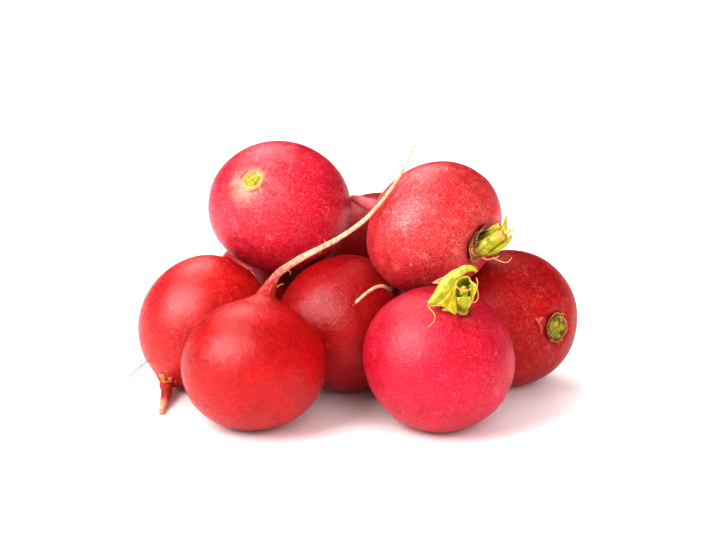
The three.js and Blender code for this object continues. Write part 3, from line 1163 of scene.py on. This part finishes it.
@dataclass
class Crown:
    """What is left of one radish's leaves, on its seat."""

    plan: RadishPlan
    tissue: Tissue
    style: CutStyle = CutStyle.HIDDEN
    sides: int = 96

    def base(self) -> Sheet:
        """Builds the leaf base: a low disc with a ring and a middle of leaf scars.

        Returns:
            The disc, set on the radish's seat.
        """
        p = self.plan
        wide, tall, deep = {
            CutStyle.HIDDEN: (0.7, 0.35, 0.1),
            CutStyle.FLUSH: (1.1, 0.45, 0.14),
            CutStyle.PITTED: (1.0, 0.9, 0.75),
            CutStyle.STALKED: (0.95, 0.8, 0.2),
        }[self.style]
        turn = circle(self.sides)
        share = np.concatenate([[1.0, 1.03, 1.0], np.linspace(0.96, 0.03, 26)])
        ring = np.exp(-(((share - 0.86) / 0.12) ** 2))
        rise = np.concatenate([[0.0, 0.4, 0.75], 0.78 + 0.2 * ring[3:] + 0.12 * (share[3:] < 0.6)])
        if self.style is CutStyle.FLUSH:
            rise = 0.25 + 0.75 * ease(1.02, 0.55, share)
        lobes = 1 + 0.02 * np.cos(5 * turn + p.seed) + 0.03 * np.cos(2 * turn) + 0.012 * np.cos(13 * turn)
        radius = share[:, None] * (p.seat - 0.1) * wide * lobes
        sink = 0.6 if self.style is CutStyle.HIDDEN else 0.3
        height = p.seat_height - sink + rise[:, None] * (tall + 0.35) * (1 + 0.05 * np.cos(3 * turn))
        local = np.stack([radius * np.cos(turn), radius * np.sin(turn), height], -1)
        waves = Waves(p.seed + 5)
        pits = ease(0.25, 1.1, waves.at(local * np.array([1, 1, 0.2]), 1.25))
        pits = pits * ease(0.85, 0.7, share)[:, None]
        local[..., 2] += waves.at(local, 0.7) * 0.06 - pits * deep * 1.4
        pale_from = 0.5 if self.style is CutStyle.FLUSH else 0.6
        edge = ease(pale_from, 0.92, share[:, None] + waves.at(local, 1.6) * 0.1)
        # the first value marks the pits, which the tissue darkens with painted shade
        spot = np.stack(np.broadcast_arrays(pits * min(1.0, deep * 2), 1 + 0 * radius, edge), -1)
        return Sheet(OwnFrame(p).point(local), local, spot)

    def ring(self, stubs: StubRing) -> list[Sheet]:
        """Sets cut stalks round the base.

        Args:
            stubs: how many, how tall and how far they lean.

        Returns:
            Their sheets.
        """
        p = self.plan
        frame_ = OwnFrame(p)
        floor = p.seat_height + 0.28
        out = (p.seat - 0.28) * 0.52
        made = []
        for i in range(stubs.count):
            turn = i / stubs.count * TAU + 0.35 * math.sin(i * 2.7)
            tall = stubs.tall + stubs.vary * abs(math.sin(i * 1.9 + 0.6))
            way = np.array([math.cos(turn), math.sin(turn), 0])
            rows = [
                (*frame_.point(way * away + UP * (floor + up)), stubs.width * wide_by)
                for away, up, wide_by in (
                    (out, -0.3, 1.0),
                    (out + stubs.lean * tall * 0.3, p.leaf_base + tall * 0.5, 0.92),
                    (out + stubs.lean * tall, p.leaf_base + tall, 0.8),
                )
            ]
            across = frame_.matrix @ np.array([-math.sin(turn), math.cos(turn), 0])
            made.append(Stalk(rows, stubs.thick, across, p.seed + i).sheet())
        return made

    def build(self, extra: Sequence[Sheet] = ()) -> None:
        """Makes the crown as one piece.

        Args:
            extra: stalks that are given one by one.
        """
        p = self.plan
        tone = {
            CutStyle.STALKED: LeafTone.STALK,
            CutStyle.PITTED: LeafTone.PITTED,
            CutStyle.FLUSH: LeafTone.CUT,
            CutStyle.HIDDEN: LeafTone.PAPER,
        }[self.style]
        sheets = [self.base(), *extra]
        if p.stubs and self.style is not CutStyle.PITTED:
            sheets += self.ring(p.stubs)
        make_piece(f"crown_{p.name}_stalks", sheets, self.tissue[tone], LEAF_SLOT, f"crown_{p.name}")


# ---- set pieces --------------------------------------------------------------------------

CUT_STALKS: dict[str, tuple[Stalk, ...]] = {
    "top_right": (
        Stalk(
            ((29.2, 8.4, 40.9, 3.6), (31.2, 6.8, 42.8, 4.1), (33.4, 5.2, 44.9, 3.7), (35.2, 4.2, 46.6, 2.6)),
            3.0, (0.5, 0.5, -0.6), 3,
        ),
        Stalk(
            ((30.6, 9.2, 43.8, 2.6), (32.6, 7.4, 46.2, 2.6), (34.4, 6.0, 48.2, 1.5)),
            1.6, (0.5, -0.5, -0.5), 5,
        ),
        Stalk(
            ((33.8, 5.9, 45.2, 1.9), (35.0, 5.4, 46.9, 1.7), (35.4, 5.0, 48.8, 1.1), (35.6, 4.8, 50.7, 0.8)),
            0.9, (0.8, -0.5, 0.0), 7,
        ),
        Stalk(
            ((34.2, 5.0, 45.8, 1.6), (35.8, 4.3, 47.0, 1.3), (36.8, 3.8, 47.6, 0.8), (37.5, 3.4, 47.5, 0.35)),
            0.8, (0.0, 0.5, 0.8), 9,
        ),
        Stalk(
            (
                (31.2, 6.8, 40.8, 1.8), (33.4, 4.9, 42.3, 2.1), (35.3, 3.8, 44.1, 1.7),
                (36.5, 3.3, 45.8, 1.2), (37.0, 3.1, 46.6, 0.6),
            ),
            1.2, (0.3, 0.6, 0.7), 11,
        ),
        Stalk(
            ((29.8, 6.9, 40.6, 1.6), (30.7, 6.0, 41.5, 1.8), (31.9, 5.3, 42.6, 1.3), (32.8, 4.8, 43.6, 0.7)),
            1.0, (0.6, 0.2, -0.6), 12,
        ),
    ),
}
PETIOLE = Leaf(
    (
        ((27.8, -11.6, 42.0), (27.7, -11.9, 41.9), (27.6, -11.6, 41.7)),
        ((26.9, -11.8, 42.8), (26.5, -12.5, 42.7), (26.3, -11.9, 42.1)),
        ((25.2, -12.0, 43.4), (25.1, -13.0, 43.0), (24.9, -12.3, 41.8)),
        ((23.2, -12.0, 42.6), (23.5, -13.2, 42.2), (23.8, -12.5, 40.8)),
        ((21.2, -12.2, 41.6), (21.9, -13.5, 40.9), (22.4, -12.8, 39.7)),
        ((19.5, -12.6, 40.1), (20.3, -13.9, 39.2), (21.2, -13.1, 37.7)),
        ((18.1, -13.0, 37.7), (18.9, -14.2, 37.3), (19.8, -13.5, 36.2)),
        ((16.9, -13.4, 35.9), (17.5, -14.2, 35.7), (18.2, -13.9, 34.9)),
        ((16.0, -13.9, 34.7), (16.2, -14.2, 34.6), (16.4, -14.0, 34.3)),
    ),
    seed=15,
)
FLAP = Leaf(
    (
        ((21.8, -12.0, 41.5), (21.2, -11.8, 40.6), (19.9, -12.0, 38.5)),
        ((19.9, -11.8, 40.6), (19.6, -11.6, 39.8), (19.0, -11.9, 38.5)),
        ((18.4, -11.9, 39.8), (18.4, -11.8, 39.3), (18.3, -11.9, 38.8)),
        ((17.2, -12.2, 39.2), (17.2, -12.2, 39.1), (17.3, -12.2, 39.0)),
    ),
    seed=16,
)
BLADES = (
    Leaf(
        (
            ((22.9, -12.6, 40.6), (22.6, -12.9, 40.1), (22.4, -12.7, 39.5)),
            ((21.1, -13.0, 37.7), (21.8, -13.7, 38.1), (22.3, -13.2, 38.7)),
            ((19.3, -13.3, 35.9), (20.7, -14.2, 36.4), (21.9, -13.6, 36.7)),
            ((17.6, -13.7, 34.5), (19.6, -14.7, 35.0), (21.5, -13.8, 35.0)),
            ((16.4, -14.1, 33.9), (18.8, -15.0, 34.2), (21.2, -14.0, 33.7)),
        ),
        seed=17, ragged=0.12,
    ),
    Leaf(
        (
            ((22.3, -12.8, 39.9), (22.4, -12.9, 39.7), (22.6, -12.9, 39.4), (22.8, -12.7, 39.3)),
            ((21.7, -13.3, 37.4), (22.1, -13.9, 37.6), (22.3, -14.2, 37.7), (22.6, -13.8, 37.5)),
            ((21.1, -13.8, 35.4), (21.7, -14.6, 35.7), (22.0, -14.9, 35.9), (22.6, -14.4, 35.8)),
            ((20.1, -14.0, 33.8), (20.8, -15.0, 34.1), (21.7, -15.3, 34.2), (22.7, -14.8, 34.0)),
            ((19.6, -14.2, 33.1), (20.5, -15.2, 33.4), (21.6, -15.5, 33.3), (22.8, -15.0, 33.1)),
            ((20.0, -14.4, 32.5), (21.0, -15.2, 33.2), (21.9, -15.5, 32.7), (22.5, -15.2, 32.0)),
        ),
        seed=18, ragged=0.2,
    ),
)
CUP = (
    Leaf(
        (
            (
                (23.3, -12.6, 33.3), (24.1, -11.6, 33.0), (24.8, -11.0, 32.8), (25.4, -11.5, 32.8),
                (25.6, -12.4, 32.8),
            ),
            (
                (22.7, -13.3, 34.6), (23.4, -11.2, 34.2), (24.7, -10.0, 34.0), (25.9, -11.0, 34.1),
                (26.1, -13.0, 34.0),
            ),
            (
                (22.5, -13.7, 36.7), (23.1, -11.0, 36.3), (24.7, -9.6, 36.0), (26.5, -10.8, 36.2),
                (27.1, -13.2, 36.6),
            ),
            (
                (22.5, -13.9, 38.7), (23.2, -11.2, 38.3), (24.8, -9.6, 38.3), (26.7, -10.8, 38.4),
                (27.5, -13.0, 38.5),
            ),
            (
                (22.9, -13.1, 40.0), (23.7, -11.6, 40.2), (24.9, -10.6, 40.3), (25.9, -11.2, 40.1),
                (26.2, -12.4, 39.5),
            ),
        ),
        seed=20, ragged=0.15,
    ),
    Leaf(
        (
            ((25.8, -11.6, 37.9), (26.3, -12.6, 39.1), (27.1, -13.2, 39.5)),
            ((26.1, -12.2, 37.1), (27.0, -13.4, 38.1), (27.6, -13.6, 38.7)),
            ((26.2, -12.4, 35.4), (26.9, -13.6, 36.6), (27.5, -13.8, 37.6)),
            ((25.9, -12.4, 34.0), (26.4, -13.2, 35.1), (27.0, -13.3, 36.1)),
        ),
        seed=21,
    ),
    Leaf(
        (
            ((23.3, -12.8, 33.3), (24.0, -13.3, 33.2), (24.6, -13.4, 33.0), (25.5, -12.8, 32.6)),
            ((22.8, -13.7, 34.5), (23.6, -14.4, 34.8), (24.7, -14.4, 34.5), (26.0, -13.4, 34.1)),
            ((22.6, -13.9, 35.7), (23.5, -14.8, 35.8), (24.4, -14.7, 35.9), (26.1, -13.6, 35.4)),
            ((22.7, -13.9, 36.3), (23.6, -14.6, 36.2), (24.7, -14.2, 36.7), (26.2, -13.6, 36.0)),
        ),
        seed=22, ragged=0.15,
    ),
    Leaf(
        (
            ((23.3, -12.6, 35.5), (24.2, -12.8, 35.3), (25.3, -12.6, 35.5)),
            ((23.4, -12.8, 36.8), (24.2, -13.4, 37.2), (25.5, -12.8, 36.7)),
            ((23.9, -12.4, 38.2), (24.7, -13.0, 38.6), (25.3, -12.6, 37.9)),
        ),
        seed=23,
    ),
)
PEELED_SKIN = (
    Leaf(
        (
            ((43.8, 10.6, 22.8), (44.1, 10.1, 22.6), (44.4, 10.5, 22.9)),
            ((44.4, 10.6, 21.8), (44.7, 9.9, 21.8), (45.0, 10.6, 22.0)),
            ((44.9, 10.6, 20.8), (45.3, 9.9, 20.9), (45.6, 10.6, 20.9)),
            ((45.0, 10.5, 19.8), (45.4, 9.8, 19.9), (45.7, 10.5, 19.8)),
            ((45.2, 10.5, 18.9), (45.4, 10.2, 19.0), (45.6, 10.6, 18.9)),
        ),
        seed=31,
    ),
    Leaf(
        (
            ((44.5, 10.5, 21.8), (44.8, 10.0, 21.7), (45.0, 10.5, 21.6)),
            ((44.9, 10.7, 22.6), (45.2, 10.2, 22.5), (45.4, 10.7, 22.4)),
            ((45.5, 10.8, 23.1), (45.7, 10.5, 23.0), (45.9, 10.9, 22.9)),
        ),
        seed=32,
    ),
)
ROOT_FLAKES = tuple(
    Leaf(rows, seed, 0.8)
    for rows, seed in (
        (
            (
                ((-51.0, 17.2, 4.2), (-50.1, 16.0, 4.6), (-49.2, 15.8, 4.8)),
                ((-51.5, 16.5, 5.6), (-50.3, 15.1, 6.2), (-49.0, 14.9, 6.5)),
            ),
            41,
        ),
        (
            (
                ((-49.6, 15.9, 4.7), (-48.7, 15.9, 4.8), (-47.8, 16.6, 4.9)),
                ((-49.5, 15.0, 6.1), (-48.2, 15.0, 6.6), (-47.0, 15.9, 6.6)),
            ),
            42,
        ),
        (
            (
                ((-50.6, 15.9, 3.8), (-49.6, 15.1, 3.7), (-48.2, 15.6, 3.9)),
                ((-51.0, 15.3, 4.9), (-49.5, 14.3, 5.0), (-47.6, 15.0, 4.9)),
            ),
            43,
        ),
        (
            (
                ((-49.2, 15.4, 4.9), (-48.4, 15.5, 5.0), (-47.7, 16.2, 4.6)),
                ((-48.7, 14.4, 5.5), (-47.6, 14.8, 5.6), (-46.8, 15.6, 5.1)),
            ),
            44,
        ),
    )
)
HAIRS: dict[str, tuple[Hair, ...]] = {
    "front_left": (
        Hair(((-20.4, 2.0, 33.6), (-19.5, 1.4, 34.4), (-18.7, 0.6, 34.9)), 0.5),
        Hair(((-9.0, 6.2, 42.6), (-8.6, 6.2, 44.0), (-8.8, 6.0, 44.8)), 0.22),
        Hair(((-9.9, 6.2, 42.2), (-9.7, 5.9, 41.3), (-9.9, 5.6, 40.7)), 0.22),
        Hair(((-21.2, 1.2, 35.7), (-21.4, 1.2, 36.5), (-21.3, 1.5, 37.3)), 0.3),
        Hair(((-17.9, 2.7, 38.0), (-17.0, 2.4, 37.3), (-17.1, 2.0, 36.7)), 0.25),
    ),
    "left": (
        Hair(((-48.4, 15.6, 5.4), (-47.7, 14.4, 7.0), (-47.0, 13.4, 8.1), (-46.2, 12.4, 8.9)), 0.32),
        Hair(((-54.0, 21.0, 8.2), (-55.6, 18.6, 7.6), (-57.4, 14.0, 7.2), (-59.4, 8.0, 6.9)), 0.4, 0.4),
        Hair(((-49.5, 4.8, 0.8), (-49.7, 3.4, 0.35), (-49.8, 1.6, 0.3)), 0.4),
        Hair(((-49.4, 4.6, 0.7), (-48.1, 3.2, 0.4), (-46.6, 2.0, 0.3)), 0.3),
        Hair(((-49.8, 4.8, 0.9), (-50.8, 3.6, 0.5), (-51.6, 2.4, 0.3)), 0.3),
        Hair(((-49.0, 16.0, 5.0), (-49.2, 15.0, 7.2), (-48.9, 14.4, 8.0)), 0.28),
        Hair(((-50.4, 16.4, 4.6), (-51.4, 15.4, 5.0), (-51.7, 14.6, 5.8)), 0.28),
        Hair(((-48.2, 16.0, 4.9), (-47.4, 15.2, 4.6), (-46.9, 14.4, 4.0)), 0.3),
    ),
    "middle": (
        Hair(((4.6, 13.8, 28.2), (5.2, 13.9, 27.0), (5.0, 13.6, 26.2)), 0.25),
        Hair(((4.8, 13.8, 28.4), (6.0, 13.7, 27.2), (6.3, 13.4, 26.0)), 0.22),
        Hair(((-0.9, 7.1, 28.1), (-1.6, 6.6, 27.6), (-2.0, 6.4, 27.2)), 0.2),
    ),
    "front_right": (
        Hair(
            (
                (22.4, -13.9, 39.3), (22.7, -14.3, 39.0), (23.6, -14.6, 38.3), (25.2, -14.4, 37.9),
                (26.3, -13.4, 38.1),
            ),
            0.42, 0.2,
        ),
        Hair(
            (
                (16.3, -14.0, 34.6), (16.1, -14.3, 34.2), (16.4, -15.0, 33.8), (17.3, -16.3, 33.1),
                (17.7, -17.4, 32.3), (17.2, -18.0, 31.2), (16.0, -18.4, 30.2),
            ),
            0.36, 0.5,
        ),
        Hair(
            (
                (27.5, -13.4, 40.8), (27.8, -13.6, 39.6), (27.6, -13.8, 38.4), (28.0, -13.6, 36.8),
                (27.9, -13.4, 35.5), (27.2, -13.2, 34.6), (26.3, -13.0, 34.6),
            ),
            0.34, 0.3,
        ),
    ),
    "top_right": (
        Hair(
            ((30.2, 6.4, 40.0), (30.9, 6.0, 39.5), (32.5, 5.2, 39.9), (33.5, 4.8, 40.3), (33.9, 4.4, 40.9)),
            0.34, 0.4,
        ),
        Hair(
            (
                (32.6, 5.6, 40.2), (33.4, 5.4, 39.7), (34.6, 4.6, 39.4), (35.6, 4.2, 39.2), (36.4, 4.0, 39.6),
                (37.1, 3.8, 40.6),
            ),
            0.3, 0.4,
        ),
        Hair(((1.2, 35.8, 46.7), (0.6, 36.4, 47.6), (-0.4, 37.2, 47.9)), 0.22),
    ),
}
STYLES: dict[str, CutStyle] = {
    "top_left": CutStyle.FLUSH,
    "top_right": CutStyle.STALKED,
    "front_right": CutStyle.STALKED,
    "right": CutStyle.PITTED,
    "back": CutStyle.STALKED,
}


# ---- assemblies --------------------------------------------------------------------------


@dataclass(frozen=True)
class ThinPiece:
    """Thin parts of one tissue that become one piece."""

    name: str
    tone: LeafTone
    parts: Sequence[Leaf | Rim]
    thick: float

    def build(self, tissue: Tissue) -> None:
        """Makes the piece.

        Args:
            tissue: the tissues, one of which dresses it.
        """
        sheets = [part.sheet() for part in self.parts]
        make_piece(self.name, sheets, tissue[self.tone], LEAF_SLOT, thick=self.thick)


@dataclass(frozen=True)
class Trim:
    """The peeled skin, dry scales and flakes on one radish."""

    plan: RadishPlan

    def rim(self, inner: float, outer: float, *rest: float) -> Rim:
        """Makes a rim whose two edges are given from the edge of the crown's seat."""
        return Rim(self.plan, self.plan.seat + inner, self.plan.seat + outer, *rest)

    def pieces(self) -> list[ThinPiece]:
        """Lists this radish's thin pieces.

        Returns:
            The pieces in building order. Most radishes have none.
        """
        up = OwnFrame(self.plan).turn_to((-1.0, 0.0, 1.0))
        rim = self.rim
        match self.plan.name:
            case "top_right":
                scales = (
                    rim(-2.2, -0.5, 2.7, 0.95, 17, 6, up - 0.1, 2.3),
                    rim(-1.5, 0.5, 2.1, 0.9, 21, 7, up, 2.6),
                    rim(-0.9, 0.9, 1.2, 0.9, 19, 8, up + 0.1, 2.2),
                )
                paper = (rim(-0.6, 1.0, 0.9, 0.7, 19, 9, up + 2.7, 4.4),)
                return [
                    ThinPiece("scales_top_right", LeafTone.SCALE, scales, 0.34),
                    ThinPiece("rim_top_right", LeafTone.PAPER, paper, 0.16),
                ]
            case "right":
                rings = (rim(-0.35, 0.45, 0.9, 0.7, 9, 8), rim(-1.0, -0.2, 1.2, 0.95, 7, 14))
                return [
                    ThinPiece("rim_right", LeafTone.PAPER, rings, 0.1),
                    ThinPiece("peel_right", LeafTone.PEEL, PEELED_SKIN, 0.16),
                ]
            case "left":
                return [ThinPiece("flakes_left", LeafTone.HAIR, ROOT_FLAKES, 0.14)]
            case "top_left":
                arcs = (
                    rim(0.75, 1.25, 0.25, 0.5, 5, 4, up + 3.0, 1.5),
                    rim(0.35, 0.75, 0.2, 0.5, 5, 5, up + 0.2, 1.1),
                )
                return [ThinPiece("rim_top_left", LeafTone.PEEL, arcs, 0.12)]
            case "back":
                return [ThinPiece("rim_back", LeafTone.PAPER, (rim(-0.5, 0.5, 0.4, 0.6, 9, 12),), 0.14)]
        return []


@dataclass(frozen=True)
class FoldedLeaf:
    """The cut and folded leaf on the radish at the front right."""

    petiole: tuple[Leaf, ...] = (PETIOLE,)
    flap: tuple[Leaf, ...] = (FLAP,)
    blades: tuple[Leaf, ...] = BLADES
    cup: tuple[Leaf, ...] = CUP

    def build(self, tissue: Tissue) -> None:
        """Makes the leaf stalk, its torn flap, the blades and the rolled cup.

        Args:
            tissue: the tissues that dress them.
        """
        ThinPiece("leaf_petiole", LeafTone.STALK, self.petiole, 0.55).build(tissue)
        ThinPiece("leaf_flap", LeafTone.PEACH, self.flap, 0.3).build(tissue)
        ThinPiece("leaf_blade", LeafTone.LEAF, self.blades, 0.3).build(tissue)
        ThinPiece("leaf_cup", LeafTone.GREEN, self.cup, 0.38).build(tissue)


@dataclass
class Heap:
    """All nine radishes with what is left of their leaves."""

    plans: tuple[RadishPlan, ...] = RADISHES
    tissue: Tissue = field(default_factory=lambda: {tone: leaf_material(tone) for tone in LeafTone})

    def radish(self, plan: RadishPlan) -> None:
        """Makes one radish: its skin, its crown, thin trim and hairs.

        Args:
            plan: the radish.
        """
        Root(plan).build()
        stalks = [stalk.sheet() for stalk in CUT_STALKS.get(plan.name, ())]
        Crown(plan, self.tissue, STYLES.get(plan.name, CutStyle.HIDDEN)).build(stalks)
        for piece in Trim(plan).pieces():
            piece.build(self.tissue)
        if plan.name in HAIRS:
            hairs = [hair.sheet() for hair in HAIRS[plan.name]]
            make_piece(f"hairs_{plan.name}", hairs, self.tissue[LeafTone.HAIR], LEAF_SLOT)

    def build(self) -> None:
        """Makes every radish, then the folded leaf."""
        for plan in self.plans:
            self.radish(plan)
        FoldedLeaf().build(self.tissue)


@dataclass(frozen=True)
class Lamp:
    """A soft square light that faces the heap: place and size in metres, power in watts."""

    name: str
    at: Place
    size: float
    power: float
    lights: bool = True  # whether it lights matt surfaces
    shines: bool = True  # whether it shows in reflections

    def hang(self) -> None:
        """Adds the light to the scene."""
        data = bpy.data.lights.new(self.name, "AREA")
        data.shape = "SQUARE"
        data.size = self.size
        data.energy = self.power
        made = bpy.data.objects.new(self.name, data)
        made.location = self.at
        made.visible_diffuse = self.lights
        made.visible_glossy = self.shines
        made.rotation_euler = (Vector((0, 0, 0.03)) - Vector(self.at)).to_track_quat("-Z", "Y").to_euler()
        bpy.context.scene.collection.objects.link(made)


@dataclass(frozen=True)
class Studio:
    """The ground, the lights, the surround and the camera."""

    lamps: tuple[Lamp, ...] = (
        Lamp("key", (-0.54, -0.42, 0.56), 0.5, 10.5),
        Lamp("top", (-0.24, 0.56, 0.7), 0.5, 6.5, shines=False),
        Lamp("fill", (0.34, -0.78, 0.36), 0.8, 10.5, shines=False),
        Lamp("shine", (-0.54, -0.37, 0.55), 0.34, 13.0, lights=False),
        Lamp("top_shine", (-0.22, 0.5, 0.64), 0.34, 6.5, lights=False),
    )
    ground_half: float = 3.0  # metres
    ground_colour: Colour = (0.97, 0.91, 0.91)
    aim: Place = (0.5, -37.3, 38.6)  # what the camera looks at, in mm
    away: float = 486.0  # how far off it stands, in mm
    elevation: float = math.radians(17.0)
    lens: float = 100.0
    bright_side: Place = (-0.15, 0.3, 0.94)  # the surround is brightest towards it
    gamma: float = 0.8
    exposure: float = -0.34

    def ground(self) -> None:
        """Lays a wide pale ground."""
        far = self.ground_half
        mesh = bpy.data.meshes.new("ground")
        mesh.from_pydata([(-far, -far, 0), (far, -far, 0), (far, far, 0), (-far, far, 0)], [], [(0, 1, 2, 3)])
        made = bpy.data.objects.new("ground", mesh)
        bpy.context.scene.collection.objects.link(made)
        matt = {"Base Color": self.ground_colour, "Roughness": 0.6, "Specular IOR Level": 0.2}
        mesh.materials.append(Finisher("ground").finish(matt, {}))

    def camera(self) -> None:
        """Puts the camera at the photograph's viewing angle."""
        data = bpy.data.cameras.new("view")
        data.lens = self.lens
        data.sensor_width = 36.0
        data.clip_end = 20.0
        made = bpy.data.objects.new("view", data)
        back = np.array([0, -math.cos(self.elevation), math.sin(self.elevation)])
        made.location = ((np.array(self.aim) + back * self.away) * MM).tolist()
        made.rotation_euler = (math.pi / 2 - self.elevation, 0, 0)
        bpy.context.scene.collection.objects.link(made)
        bpy.context.scene.camera = made

    def surround(self) -> None:
        """Sets a white surround that is dimmer low down and leaves the reflections alone."""
        world = bpy.data.worlds.new("studio")
        world.use_nodes = True
        world.cycles_visibility.glossy = False
        n = Nodes(world.node_tree)
        way = Flow(n, n.node("ShaderNodeTexCoord", {}, {}).outputs["Generated"])
        towards = n.node("ShaderNodeVectorMath", {"operation": "DOT_PRODUCT"}, {0: way, 1: self.bright_side})
        high = Flow(n, towards.outputs["Value"]).between(-0.1, 0.95)
        back = world.node_tree.nodes["Background"]
        n.feed(back.inputs["Color"], (1.0, 1.0, 1.0))
        n.feed(back.inputs["Strength"], high * 1.2 + 0.3)
        bpy.context.scene.world = world

    def build(self) -> None:
        """Sets the whole studio."""
        self.ground()
        self.camera()
        for lamp in self.lamps:
            lamp.hang()
        self.surround()
        view = bpy.context.scene.view_settings
        view.view_transform = "Standard"
        view.look = "None"
        view.gamma = self.gamma
        view.exposure = self.exposure


def main() -> None:
    """Builds the studio and the heap, and logs what it made."""
    Studio().build()
    log.info("studio: set")
    Heap().build()
    log.info("heap: %d radishes", len(RADISHES))


if __name__ == "__main__":
    main()
